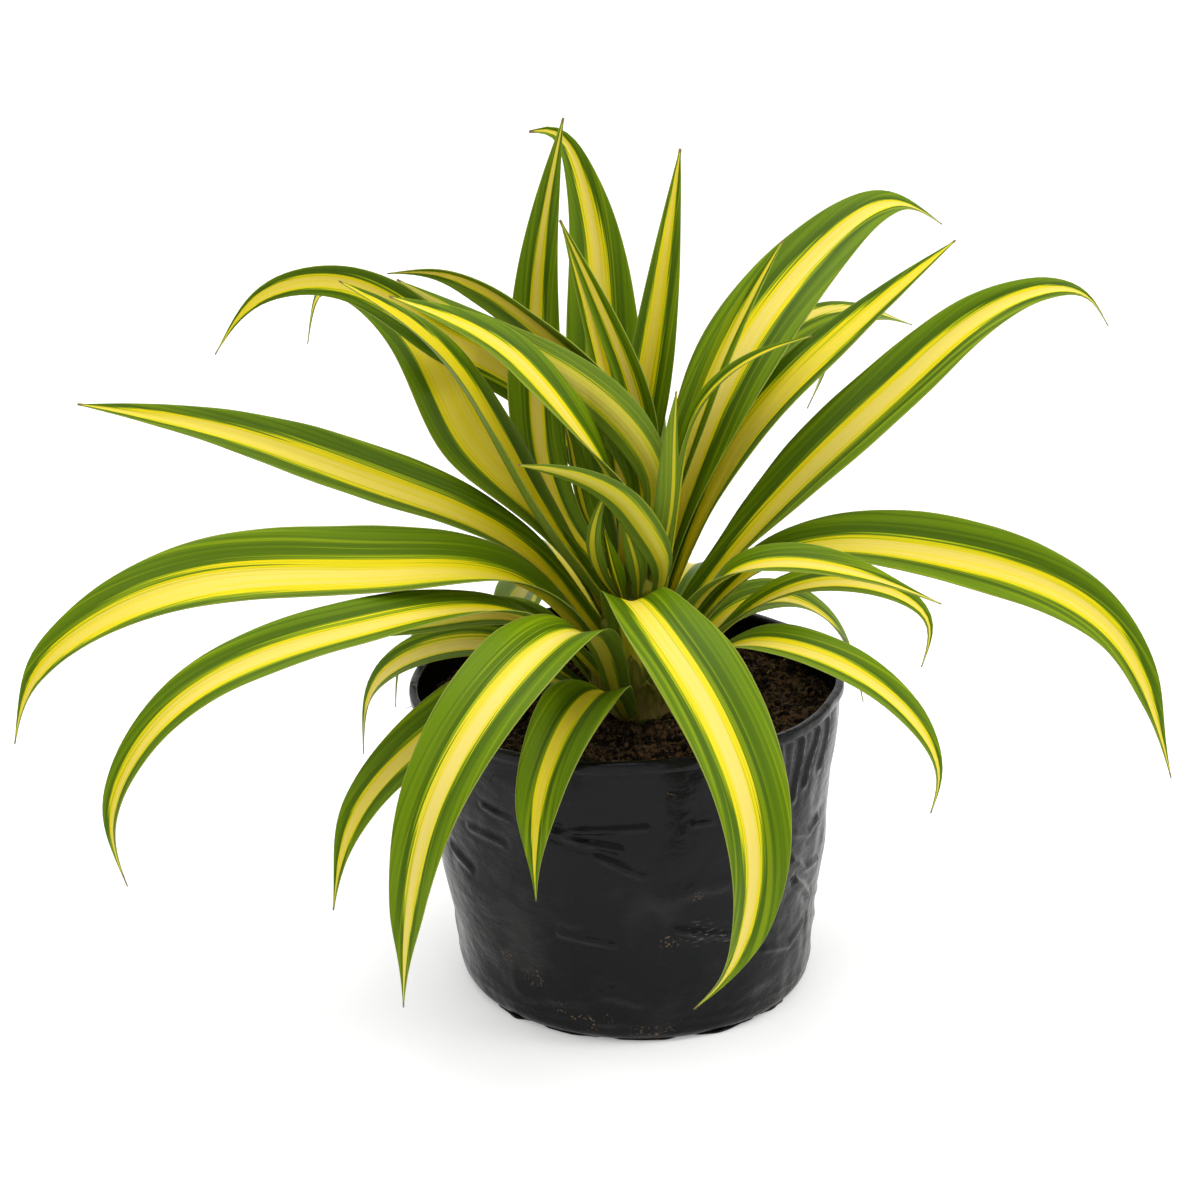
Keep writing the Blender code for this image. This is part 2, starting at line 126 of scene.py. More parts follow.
world = bpy.data.worlds.new("studio")
world.use_nodes = True
room = world.node_tree
direction = room.nodes.new("ShaderNodeTexCoord")
axes = room.nodes.new("ShaderNodeSeparateXYZ")
room.links.new(direction.outputs["Generated"], axes.inputs[0])
brightness = room.nodes.new("ShaderNodeMapRange")
brightness.interpolation_type = "SMOOTHSTEP"
room.links.new(axes.outputs["Y"], brightness.inputs["Value"])
ramp = {"From Min": DIM_BEFORE, "From Max": BRIGHT_FROM, "To Min": ROOM_DIM, "To Max": ROOM_BRIGHT}
for name, value in ramp.items():
    brightness.inputs[name].default_value = value
surround = room.nodes["Background"]
surround.inputs["Color"].default_value = (1, 1, 1, 1)
room.links.new(brightness.outputs[0], surround.inputs["Strength"])
bpy.context.scene.world = world
print("room from", ROOM_DIM, "to", ROOM_BRIGHT)

# %% Lights
# Each lamp: its place, the point that it faces, its size, its power in watts and its colour.
Lamp = namedtuple("Lamp", "name place aim size power colour")
LAMPS = [
    Lamp("softbox_right", (1.4, -0.3, 1.5), (0, 0, 0.15), 0.9, 15, (1.0, 0.99, 0.97)),
    Lamp("softbox_above", (-0.2, 0.4, 2.0), (0, 0, 0.15), 1.5, 17, (1.0, 1.0, 1.0)),
    Lamp("softbox_front", (-0.5, -1.1, 1.9), (0, 0, 0.15), 1.0, 8, (1.0, 1.0, 1.0)),
]

for lamp in LAMPS:
    light = bpy.data.lights.new(lamp.name, "AREA")
    light.shape = "DISK"
    light.size = lamp.size
    light.energy = lamp.power
    light.color = lamp.colour
    holder = bpy.data.objects.new(lamp.name, light)
    holder.location = lamp.place
    towards = Vector(lamp.aim) - Vector(lamp.place)
    holder.rotation_euler = towards.to_track_quat("-Z", "Y").to_euler()
    bpy.context.scene.collection.objects.link(holder)
    print(lamp.name, lamp.power, "W")
bpy.context.scene.view_settings.view_transform = "Standard"

# %% [markdown]
# ## Wiring a finish
# Every finish below is a tree of nodes that ends in one shader. A few short functions keep the trees
# readable: each adds one node, takes sockets or plain numbers for its inputs, and returns its output
# socket.

# %% Helpers that add one node each
def new_finish(name):
    """A material and its node tree, with the shader already in it."""
    material = bpy.data.materials.new(name)
    material.use_nodes = True
    return material, material.node_tree


def feed(tree, socket, value):
    """Gives a socket either a link or a fixed number or colour."""
    if isinstance(value, bpy.types.NodeSocket):
        tree.links.new(value, socket)
    elif isinstance(value, tuple) and socket.type == "RGBA" and len(value) == 3:
        socket.default_value = (*value, 1)
    else:
        socket.default_value = value


def calc(tree, operation, first, second=0.0, clamp=False):
    node = tree.nodes.new("ShaderNodeMath")
    node.operation = operation
    node.use_clamp = clamp
    feed(tree, node.inputs[0], first)
    feed(tree, node.inputs[1], second)
    return node.outputs[0]


def times(tree, first, second):
    return calc(tree, "MULTIPLY", first, second)


def plus(tree, first, second):
    return calc(tree, "ADD", first, second)


def blend(tree, share, first, second):
    """The first colour with a share of the second over it."""
    node = tree.nodes.new("ShaderNodeMix")
    node.data_type = "RGBA"
    feed(tree, node.inputs["Factor"], share)
    feed(tree, node.inputs["A"], first)
    feed(tree, node.inputs["B"], second)
    return node.outputs["Result"]


def fade(tree, value, low, high, start=0.0, end=1.0):
    """Start below low, end above high, and a smooth step between them."""
    node = tree.nodes.new("ShaderNodeMapRange")
    node.interpolation_type = "SMOOTHSTEP"
    for socket, given in zip(node.inputs, (value, low, high, start, end)):
        feed(tree, socket, given)
    return node.outputs[0]


def cloud(tree, place, scale, detail=2.0, roughness=0.5):
    """Soft noise from 0 to 1."""
    node = tree.nodes.new("ShaderNodeTexNoise")
    feed(tree, node.inputs["Vector"], place)
    feed(tree, node.inputs["Scale"], scale)
    feed(tree, node.inputs["Detail"], detail)
    feed(tree, node.inputs["Roughness"], roughness)
    return node.outputs["Fac"]


def stretch(tree, place, scale):
    """The place with its axes scaled, so that a cloud read there is drawn out."""
    node = tree.nodes.new("ShaderNodeMapping")
    feed(tree, node.inputs["Vector"], place)
    node.inputs["Scale"].default_value = scale
    return node.outputs[0]


def given(tree, name):
    """The value that a piece's own attribute has at each point."""
    node = tree.nodes.new("ShaderNodeAttribute")
    node.attribute_name = name
    return node.outputs["Vector"]


def apart(tree, vector):
    """A vector's three numbers."""
    node = tree.nodes.new("ShaderNodeSeparateXYZ")
    feed(tree, node.inputs[0], vector)
    return node.outputs[0], node.outputs[1], node.outputs[2]


def on_piece(tree):
    """Where a point is in the plant's own frame, in metres."""
    return tree.nodes.new("ShaderNodeTexCoord").outputs["Object"]


def emboss(tree, height, distance):
    """A relief too fine to be modelled."""
    node = tree.nodes.new("ShaderNodeBump")
    node.inputs["Distance"].default_value = distance
    feed(tree, node.inputs["Height"], height)
    return node.outputs[0]


def coat(tree, colour, roughness, normal, gloss):
    """Feeds the shader its colour, roughness and relief, and sets how strongly it mirrors."""
    shader = tree.nodes["Principled BSDF"]
    feed(tree, shader.inputs["Base Color"], colour)
    feed(tree, shader.inputs["Roughness"], roughness)
    feed(tree, shader.inputs["Normal"], normal)
    shader.inputs["Specular IOR Level"].default_value = gloss


print("helpers ready")

# %% [markdown]
# ## The grow bag
# A nursery's grow bag is one tube of black film, welded flat across the bottom and rolled over at the top
# into a flat hem. Filled with damp mix it stands as a slightly tapered drum. The film bulges between small
# creases: long ones lie across the lower half, where the mix has settled, and short upright ones hang under
# the hem. The drum is spun from its profile, because that keeps the wall closed and even. Each point of it
# is then moved by rules for the big bulges, which the solid has too, and for the fine creases, which only
# this piece has.

# %% Sizes of the bag
SOIL_TOP = 0.097
SOIL_MOUND = 0.003
HOLE_RADIUS = 0.0153
BAG_HEIGHT = 0.110
RIM_RADIUS = 0.075
BASE_RADIUS = 0.0607
FILM = 0.0005
EDGE_ROUNDING = 0.005
HEM_WIDTH = 0.0031
HEM_HEIGHT = 0.0034
HEM_STEP = 0.001
LEAN = -0.0039
RIM_TILT = 0.03
CREASE_DEPTH = 0.0009
CREASE_SPACING = 0.046


def smooth(x):
    x = np.clip(x, 0, 1)
    return x * x * (3 - 2 * x)


def bag_radius(height):
    """The outer radius of the film wall below the hem."""
    rise = height / BAG_HEIGHT
    wall = BASE_RADIUS + (RIM_RADIUS - HEM_STEP - BASE_RADIUS) * rise ** 0.9
    drop = max(0.0, EDGE_ROUNDING - height)
    return wall - EDGE_ROUNDING + math.sqrt(max(0.0, EDGE_ROUNDING ** 2 - drop ** 2))


print("bag", 2 * RIM_RADIUS, "m across,", BAG_HEIGHT, "m high")

# %% How the filled film bulges and creases
def bulge(turn, height):
    """The big soft bulges, which the solid has as well."""
    held = smooth(height / 0.012) * smooth((BAG_HEIGHT - HEM_HEIGHT - height) / 0.010)
    across = math.sin(2 * math.pi * height / CREASE_SPACING + 2.0 * math.sin(2 * turn + 0.7))
    upright = math.sin(7 * turn + 30 * height) * 0.5 + math.sin(3 * turn - 1.1) * 0.6
    return float(CREASE_DEPTH * held * (0.6 * across + 0.7 * upright))


def ridge(x, y, z):
    """1 along a wandering line and falling to 0 beside it."""
    return 1 - min(1.0, abs(noise.noise(Vector((x, y, z)))) * 4.5)


# Folds that the photograph shows plainly. Each: how high it stands, how wide it is, and then the azimuths and
# heights that it runs through. All lengths are in millimetres and azimuths in degrees.
FOLDS = [
    (1.125, 1.1, [(247, 82), (253, 80), (267, 77)]),
    (0.975, 1, [(249, 82), (262, 84), (274, 85)]),
    (0.75, 1.2, [(261, 74), (273, 67)]),
    (0.9, 1.2, [(248, 42), (264, 40)]),
    (0.825, 1, [(226, 85), (235, 83)]),
    (0.825, 1.1, [(218, 73), (231, 72)]),
    (1.05, 1.3, [(282, 45), (300, 39)]),
    (0.675, 0.7, [(286, 85), (292, 85)]),
    (0.9, 2.8, [(276, 56), (289, 61), (300, 61)]),
    (0.9, 2.6, [(259, 23), (271, 18)]),
    (1.05, 1.3, [(321, 83), (323, 96), (322, 106)]),
    (0.9, 1.2, [(315, 90), (313, 106)]),
    (0.975, 1.3, [(327, 86), (331, 104)]),
    (0.9, 1.4, [(336, 88), (338, 104)]),
    (0.975, 1.2, [(326, 50), (334, 43), (340, 37)]),
    (0.825, 1.2, [(322, 60), (331, 52), (342, 50)]),
    (0.825, 1.2, [(318, 72), (330, 66), (338, 68)]),
    (0.75, 1.2, [(312, 30), (324, 26), (336, 29)]),
    (0.75, 1.2, [(205, 60), (216, 56)]),
    (0.75, 1.2, [(203, 90), (209, 78)]),
]
# The film's weld runs round the bag just above the base as a fine line.
WELD_HEIGHT = 0.0085
WELD_RELIEF = 0.0003
WELD_WIDTH = 0.0007
# How high the fine creases stand: lying ones, upright ones, the crumple all over, and more crumple at the
# right, where the film is slackest.
LYING_RELIEF = 0.00070
UPRIGHT_RELIEF = 0.00009
CRUMPLE_RELIEF = 0.00012
SLACK_RELIEF = 0.00026


def push_out(point, distance, radius):
    """Moves a point away from the upright axis, by this distance if it stands at this radius."""
    grown = 1 + distance / radius
    point.x *= grown
    point.y *= grown


def fold_relief(places):
    """How far each point of an array of places is raised by the folds and the weld."""
    turns = np.degrees(np.arctan2(places[:, 1], places[:, 0])) % 360
    heights = places[:, 2]
    raised = np.zeros(len(places))
    for rise, width, path in FOLDS:
        nearest = np.full(len(places), 1.0)
        for (turn_a, height_a), (turn_b, height_b) in zip(path, path[1:]):
            across = np.radians(turns - turn_a) * RIM_RADIUS
            up = heights - height_a * MM
            step = np.array([math.radians(turn_b - turn_a) * RIM_RADIUS, (height_b - height_a) * MM])
            share = np.clip((across * step[0] + up * step[1]) / (step @ step), 0, 1)
            away = np.hypot(across - share * step[0], up - share * step[1])
            nearest = np.minimum(nearest, away)
        # A rounded crest with a shallower trough along both its sides.
        widths = nearest / (width * MM)
        crest = np.exp(-widths ** 2)
        trough = np.exp(-((widths - 2.2) / 1.2) ** 2)
        raised += rise * MM * (crest - 0.45 * trough)
    raised += WELD_RELIEF * np.exp(-((heights - WELD_HEIGHT) / WELD_WIDTH) ** 2)
    return raised


def fine_crease(turn, height):
    """Sharp low folds in the film: lying ones below the middle, upright ones under the hem."""
    held = float(smooth(height / 0.006) * smooth((BAG_HEIGHT - HEM_HEIGHT - height) / 0.003))
    around, side = math.cos(turn), math.sin(turn)
    low = float(smooth((0.074 - height) / 0.020))
    lying = ridge(around * 1.7 + 3, side * 1.7, height * 62 + 0.9 * math.sin(turn * 2 + 1))
    lying *= 0.15 + 0.85 * float(smooth(noise.noise(Vector((around * 2, side * 2, height * 22))) * 2 + 0.4))
    high = float(smooth((height - 0.062) / 0.030))
    upright = ridge(turn * 4.6 + height * 9, height * 9, 7.3)
    upright *= float(smooth(noise.noise(Vector((around * 3, side * 3, height * 8 + 4))) * 2.4 + 0.6))
    slack = float(smooth((around - 0.55) / 0.3))
    crumple = noise.noise(Vector((around * 9, side * 9, height * 90 + 2)))
    folds = LYING_RELIEF * (0.35 + 0.65 * low) * lying + UPRIGHT_RELIEF * high * upright
    return held * (folds + (CRUMPLE_RELIEF + SLACK_RELIEF * slack) * crumple)


def settle(point, fine=1.0):
    """Moves a point of an upright round bag, or of its filling, to where the leaning, creased bag has it."""
    radius = math.hypot(point.x, point.y)
    rise = min(max(point.z / BAG_HEIGHT, 0), 1)
    share = float(smooth((radius - HOLE_RADIUS) / (BASE_RADIUS - HOLE_RADIUS)))
    if share > 0.9:
        turn = math.atan2(point.y, point.x)
        push_out(point, bulge(turn, point.z) + fine * fine_crease(turn, point.z), radius)
    point.z += RIM_TILT * point.x * rise ** 3
    point.x += LEAN * rise * share


def spun(profile, sides):
    """Spins a (radius, height) profile once round the upright axis."""
    bm = bmesh.new()
    points = [bm.verts.new((radius, 0, height)) for radius, height in profile]
    edges = [bm.edges.new(pair) for pair in zip(points, points[1:])]
    bmesh.ops.spin(bm, geom=points + edges, cent=(0, 0, 0), axis=(0, 0, 1), angle=2 * math.pi,
                   steps=sides, use_merge=True, use_duplicate=False)
    bmesh.ops.remove_doubles(bm, verts=bm.verts, dist=1e-6)
    bmesh.ops.recalc_face_normals(bm, faces=bm.faces)
    return bm


print("folds stand up to", max(fold[0] for fold in FOLDS), "mm off the film")

# %% The film's finish
FILM_BLACK = (0.0055, 0.0057, 0.0063)
FILM_WORN = (0.0200, 0.0195, 0.0190)
DIRT = (0.150, 0.100, 0.058)
SCUFF = (0.110, 0.105, 0.098)
FILM_GLOSS = 0.12
FILM_ROUGHNESS = (0.17, 0.31)
# Where soil has stuck to the film, and where it was scraped: x, y and z of the middle, and the reach.
DIRT_SPOTS = [(-0.027, -0.057, 0.012, 0.004), (-0.021, -0.059, 0.009, 0.003), (-0.016, -0.060, 0.008, 0.004),
              (-0.035, -0.051, 0.022, 0.006), (-0.043, -0.045, 0.027, 0.005), (0.010, -0.063, 0.041, 0.005),
              (0.019, -0.064, 0.058, 0.003), (0.056, -0.032, 0.035, 0.003), (-0.010, -0.061, 0.011, 0.003)]
SCUFF_SPOTS = [(0.020, -0.061, 0.043, 0.007), (0.030, -0.058, 0.040, 0.006)]


def near_spots(tree, place, spots):
    """1 close to any of the spots and 0 away from all of them."""
    total = 0.0
    for x, y, z, reach in spots:
        node = tree.nodes.new("ShaderNodeVectorMath")
        node.operation = "DISTANCE"
        feed(tree, node.inputs[0], place)
        node.inputs[1].default_value = (x, y, z)
        total = calc(tree, "MAXIMUM", total, fade(tree, node.outputs["Value"], reach, reach * 0.3))
    return total


def film_finish():
    material, tree = new_finish("black_film_finish")
    place = on_piece(tree)
    _, _, height = apart(tree, place)
    patches = cloud(tree, place, 30, 3)
    colour = blend(tree, fade(tree, patches, 0.55, 0.78), FILM_BLACK, FILM_WORN)
    specks = fade(tree, cloud(tree, place, 900, 2), 0.58, 0.66)
    scratches = fade(tree, cloud(tree, stretch(tree, place, (260, 260, 1300)), 1, 3), 0.56, 0.66)
    scuffed = times(tree, near_spots(tree, place, SCUFF_SPOTS), scratches)
    colour = blend(tree, times(tree, scuffed, 0.8), colour, SCUFF)
    dirty = calc(tree, "MAXIMUM", near_spots(tree, place, DIRT_SPOTS),
                 times(tree, fade(tree, height, 0.012, 0.001), fade(tree, patches, 0.50, 0.62)))
    dirt = times(tree, dirty, specks)
    colour = blend(tree, times(tree, dirt, 0.85), colour, DIRT)
    rub = cloud(tree, stretch(tree, place, (60, 60, 400)), 1, 3)
    wear = plus(tree, times(tree, patches, 0.6), times(tree, rub, 0.4))
    roughness = fade(tree, wear, 0.3, 0.7, *FILM_ROUGHNESS)
    roughness = calc(tree, "ADD", roughness, times(tree, dirt, 0.4), clamp=True)
    crinkle = cloud(tree, stretch(tree, place, (80, 80, 130)), 1, 3, 0.5)
    grain = cloud(tree, place, 1600, 2)
    relief = plus(tree, crinkle, times(tree, grain, 0.02))
    coat(tree, colour, roughness, emboss(tree, relief, 0.0010), FILM_GLOSS)
    return material


black_film = film_finish()
print("film finish ready")

# %% Spin the bag and settle it
BAG_SIDES = 420
OUTER_STEP = 0.0010
INNER_STEP = 0.0040


def bag_profile():
    """Up the inside, over the hem, down the outside and in along the base."""
    hem_low = BAG_HEIGHT - HEM_HEIGHT
    inner_levels = np.arange(EDGE_ROUNDING, hem_low - 0.0008, INNER_STEP)
    levels = np.arange(EDGE_ROUNDING, hem_low - 0.0008, OUTER_STEP)
    inner = RIM_RADIUS - HEM_WIDTH
    corner = HEM_STEP * 0.7
    inside = [(0, FILM), (BASE_RADIUS - EDGE_ROUNDING, FILM)]
    inside += [(bag_radius(level) - FILM, level) for level in inner_levels]
    hem = [(inner, hem_low + corner), (inner, BAG_HEIGHT - corner),
           (inner + corner * 0.3, BAG_HEIGHT - corner * 0.3),
           (inner + corner, BAG_HEIGHT), ((inner + RIM_RADIUS) / 2, BAG_HEIGHT + 0.00012),
           (RIM_RADIUS - corner, BAG_HEIGHT), (RIM_RADIUS - corner * 0.3, BAG_HEIGHT - corner * 0.3),
           (RIM_RADIUS, BAG_HEIGHT - corner), (RIM_RADIUS, BAG_HEIGHT - HEM_HEIGHT / 2),
           (RIM_RADIUS, hem_low + corner), (RIM_RADIUS - corner * 0.3, hem_low + corner * 0.3),
           (bag_radius(hem_low), hem_low)]
    outside = [(bag_radius(level), level) for level in reversed(levels)]
    rounding = [EDGE_ROUNDING * share for share in (0.8, 0.6, 0.4, 0.2, 0.07, 0)]
    outside += [(bag_radius(level), level) for level in rounding]
    return inside + hem + outside + [(BASE_RADIUS * 0.5, 0), (0, 0)]


def hem_wander(point):
    """The hem was rolled by machine out of soft film, so it dips and swells a little as it goes round."""
    turn = math.atan2(point.y, point.x)
    at = Vector((math.cos(turn) * 2.2, math.sin(turn) * 2.2, 3))
    share = float(smooth((point.z - 0.100) / 0.008))
    point.z += share * 0.0007 * noise.noise(at)
    push_out(point, share * 0.0006 * noise.noise(at * 2.5), RIM_RADIUS)


def on_outer_wall(place):
    reached = math.hypot(place.x, place.y) > bag_radius(place.z) - 1e-4
    return reached and 0.004 < place.z < BAG_HEIGHT - HEM_HEIGHT


bm = spun(bag_profile(), BAG_SIDES)
outer = [vert for vert in bm.verts if on_outer_wall(vert.co)]
reliefs = fold_relief(np.array([vert.co[:] for vert in outer]))
for vert in bm.verts:
    settle(vert.co)
    hem_wander(vert.co)
for vert, relief in zip(outer, reliefs):
    push_out(vert.co, relief, RIM_RADIUS)
grow_bag = join("film_bag", bm, black_film)
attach(grow_bag, "root")
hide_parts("grow_bag")
print("bag:", len(grow_bag.data.polygons), "faces")

# %% [markdown]
# ## Folds under the bag
# The weld across the bottom is folded under the bag as it is filled, and its corners peep out at the front
# as flat black lips that lie on the table. Each one is a short strip of film, bent over and rounded at its
# ends.

# %% Lips of folded film
# Each lip: the azimuth that it is centred on, how far it runs round the base and how far it stands out.
LIPS = [(222, 0.024, 0.0006), (246, 0.030, 0.0002), (272, 0.034, -0.0002),
        (301, 0.030, 0.0008), (324, 0.020, 0.0004)]
LIP_THICKNESS = 0.0004


def thicken(piece, thickness, offset):
    """Makes a sheet solid: outwards at offset 1, inwards at -1, both ways at 0."""
    modifier = piece.modifiers.new("thickness", "SOLIDIFY")
    modifier.thickness = thickness
    modifier.offset = offset
    return modifier


def add_lip(bm, azimuth, run, reach):
    made = bmesh.ops.create_grid(bm, x_segments=40, y_segments=6, size=0.5)["verts"]
    for vert in made:
        along, out = vert.co.x * 2, vert.co.y + 0.5
        turn = math.radians(azimuth) + along * run / 2 / BASE_RADIUS
        ragged = 1 + 0.5 * noise.noise(Vector((along * 1.6, azimuth, 0)))
        rounded = math.sqrt(max(0.0, 1 - along ** 2)) * ragged
        radius = BASE_RADIUS - 0.0046 + (0.0030 + reach) * out * rounded
        lift = 0.0003 + 0.0016 * (1 - out) + 0.0004 * (1 + noise.noise(Vector((along * 3, azimuth, out))))
        vert.co = (radius * math.cos(turn), radius * math.sin(turn), lift)


bm = bmesh.new()
for lip in LIPS:
    add_lip(bm, *lip)
lips = join("base_lips", bm, black_film)
thicken(lips, LIP_THICKNESS, 1)
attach(lips, "root")
print(len(LIPS), "lips")

# %% [markdown]
# ## The potting mix
# Potting mix is peat and composted bark. From above it looks almost black, with fibres, crumbs of lighter
# bark and a few dry roots on it. A smooth brown disc would look like chocolate, so the mix is built in two
# pieces: a lumpy plug whose top follows three sizes of noise, and a scatter of crumbs, chips and fibres
# that lie on that top.

# %% The mix's own height
LUMP_RELIEF = 0.0016
CRUMB_RELIEF = 0.0026
GRIT_RELIEF = 0.0010


def soil_height(x, y):
    mound = SOIL_MOUND * (1 - (math.hypot(x, y) / RIM_RADIUS) ** 2)
    lump = LUMP_RELIEF * noise.noise(Vector((x * 110, y * 110, 0.5)))
    crumb = CRUMB_RELIEF * noise.noise(Vector((x * 210, y * 210, 2.5)))
    grit = GRIT_RELIEF * noise.noise(Vector((x * 800, y * 800, 4)))
    return SOIL_TOP + mound + lump + (crumb + grit)


print("mix stands", round(soil_height(0.04, 0) / MM, 1), "mm up, 40 mm from the middle of the bag")

# %% The mix's finish
MIX_DARK = (0.0030, 0.0019, 0.0012)
MIX_BROWN = (0.120, 0.066, 0.030)
MIX_GLOSS = 0.12


def mix_finish():
    material, tree = new_finish("potting_mix_finish")
    place = on_piece(tree)
    crumbs = cloud(tree, place, 520, 4, 0.65)
    patches = cloud(tree, place, 70, 2)
    both = plus(tree, times(tree, crumbs, 0.75), times(tree, patches, 0.3))
    colour = blend(tree, fade(tree, both, 0.47, 0.62), MIX_DARK, MIX_BROWN)
    coat(tree, colour, 0.93, emboss(tree, crumbs, 0.0022), MIX_GLOSS)
    return material


potting_mix = mix_finish()
print("mix finish ready")

# %% The plug of mix
GAP = 0.0003
ROOT_DEPTH = 0.030
SOIL_SIDES = 260
SOIL_RINGS = 64

clearance = FILM + GAP
edge = bag_radius(SOIL_TOP) - clearance
rings = [HOLE_RADIUS + (edge - HOLE_RADIUS) * step / SOIL_RINGS for step in range(SOIL_RINGS + 1)]
profile = [(0, SOIL_TOP - ROOT_DEPTH - GAP), (HOLE_RADIUS, SOIL_TOP - ROOT_DEPTH - GAP)]
profile += [(ring, SOIL_TOP) for ring in rings]
profile += [(bag_radius(level) - clearance - 0.0004, level) for level in np.arange(0.088, 0.004, -0.014)]
profile += [(BASE_RADIUS - EDGE_ROUNDING - GAP, clearance), (0, clearance)]
bm = spun(profile, SOIL_SIDES)
for vert in bm.verts:
    if abs(vert.co.z - SOIL_TOP) < 1e-5:
        vert.co.z = soil_height(vert.co.x, vert.co.y)
    settle(vert.co)
mix = join("mix_plug", bm, potting_mix)
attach(mix, "root")
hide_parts("soil")
print("mix:", len(mix.data.polygons), "faces")

# %% Crumbs, bark chips and fibres
CRUMB_COUNT = 1700
CHIP_COUNT = 260
FIBRE_COUNT = 230
SCATTER_SEED = 7
CROWN_CLEAR = 0.0145
# Crumbs are nearly black or brown, chips are tan bark, and fibres are brown.
CRUMB_COLOURS = [(0.004, 0.003, 0.002), (0.050, 0.027, 0.012), (0.010, 0.006, 0.004), (0.120, 0.066, 0.030)]
CHIP_COLOURS = [(0.260, 0.150, 0.070), (0.380, 0.260, 0.140), (0.170, 0.080, 0.034), (0.520, 0.400, 0.240)]
FIBRE_COLOURS = [(0.120, 0.070, 0.035), (0.210, 0.120, 0.060), (0.065, 0.035, 0.018)]

scatter = random.Random(SCATTER_SEED)


def spot_on_mix():
    """A random place on the mix, between the crown and the film."""
    radius = math.sqrt(scatter.uniform(CROWN_CLEAR ** 2, (edge - 0.0025) ** 2))
    turn = scatter.uniform(0, 2 * math.pi)
    point = Vector((radius * math.cos(turn), radius * math.sin(turn), 0))
    point.z = soil_height(point.x, point.y)
    settle(point, 0)
    return point


def tumbled():
    turns = [Matrix.Rotation(scatter.uniform(0, math.pi), 4, axis) for axis in "XYZ"]
    return turns[0] @ turns[1] @ turns[2]


def paint(bm, verts, colour):
    layer = bm.verts.layers.float_color.get("bit_colour")
    for vert in verts:
        vert[layer] = (*colour, 1)


def add_crumb(bm, size, sizes, colour, place):
    scale = Matrix.Diagonal((*[size * s for s in sizes], 1))
    made = bmesh.ops.create_icosphere(bm, subdivisions=1, radius=0.5,
                                      matrix=Matrix.Translation(place) @ tumbled() @ scale)
    paint(bm, made["verts"], colour)


def add_fibre(bm, start, length, thickness, colour, heading, curl):
    """A thin three-sided strand, pointed at both ends, that lies on the mix and bends as it goes."""
    made = bmesh.ops.create_grid(bm, x_segments=8, y_segments=3, size=0.5)["verts"]
    for vert in made:
        share, around = vert.co.x + 0.5, (vert.co.y + 0.5) * 2 * math.pi
        angle = heading + curl * share
        halfway = (heading + angle) / 2
        x = start.x + length * share * math.cos(halfway)
        y = start.y + length * share * math.sin(halfway)
        z = soil_height(x, y) + thickness * 0.6 + 0.0010 * math.sin(share * math.pi)
        thin = thickness / 2 * math.sqrt(max(0.0, math.sin(math.pi * share)))
        side = Vector((-math.sin(angle), math.cos(angle), 0)) * math.cos(around) * thin
        vert.co = Vector((x, y, z)) + side + Vector((0, 0, math.sin(around) * thin))
    paint(bm, made, colour)


bm = bmesh.new()
bm.verts.layers.float_color.new("bit_colour")
for _ in range(CRUMB_COUNT):
    sizes = [scatter.uniform(0.6, 1.2) for _ in range(3)]
    add_crumb(bm, scatter.uniform(0.0008, 0.0032), sizes, scatter.choice(CRUMB_COLOURS), spot_on_mix())
for _ in range(CHIP_COUNT):
    sizes = (scatter.uniform(0.8, 2.0), scatter.uniform(0.5, 1.0), scatter.uniform(0.2, 0.5))
    add_crumb(bm, scatter.uniform(0.0007, 0.0021), sizes, scatter.choice(CHIP_COLOURS), spot_on_mix())
for _ in range(FIBRE_COUNT):
    add_fibre(bm, spot_on_mix(), scatter.uniform(0.004, 0.012), scatter.uniform(0.0002, 0.0005),
              scatter.choice(FIBRE_COLOURS), scatter.uniform(0, 6.28), scatter.uniform(-1.4, 1.4))
bmesh.ops.remove_doubles(bm, verts=bm.verts, dist=1e-6)
bmesh.ops.recalc_face_normals(bm, faces=bm.faces)
bits = join("mix_bits", bm)
print(CRUMB_COUNT + CHIP_COUNT + FIBRE_COUNT, "bits,", len(bits.data.polygons), "faces")

# %% The bits' finish
def bits_finish():
    material, tree = new_finish("mix_bits_finish")
    grain = cloud(tree, on_piece(tree), 1800, 3)
    colour = blend(tree, fade(tree, grain, 0.3, 0.7), given(tree, "bit_colour"), (0.010, 0.007, 0.005))
    coat(tree, colour, 0.88, emboss(tree, grain, 0.0004), MIX_GLOSS)
    return material


bits.data.materials.append(bits_finish())
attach(bits, "root")
print("bits finish ready")

# %% [markdown]
# ## The crown
# All leaves grow from a short stem that is hidden by their own bases: each leaf clasps the stem and the
# younger leaves inside it, as in a leek. The stem is spun, and a spiral of shallow ridges is pressed out of
# it where one sheath ends over the next. A few old sheaths, dried to tan paper, still stand round its foot.

# %% Sizes of the crown
CROWN_TOP = 0.158
CROWN_FOOT_RADIUS = 0.0150
CROWN_TOP_RADIUS = 0.0028
CROWN_RELIEF = 0.0010
CROWN_SIDES = 120
ROOT_RADIUS = 0.0125
SHEATHS_ROUND = 5
SHEATH_CLIMB = 160


def crown_radius(height):
    rise = min(max((height - SOIL_TOP) / (CROWN_TOP - SOIL_TOP), 0), 1)
    return CROWN_TOP_RADIUS + (CROWN_FOOT_RADIUS - CROWN_TOP_RADIUS) * math.cos(rise * math.pi / 2) ** 0.8


def polar(azimuth, radius, height):
    turn = math.radians(azimuth)
    return np.array([radius * math.cos(turn), radius * math.sin(turn), height])


print("crown", 2 * CROWN_FOOT_RADIUS, "m thick at its foot")

# %% The crown's finish
SHEATH_GREEN = (0.120, 0.130, 0.010)
SHEATH_PALE = (0.220, 0.205, 0.030)
SHEATH_TAN = (0.230, 0.165, 0.055)
SHEATH_GLOSS = 0.2


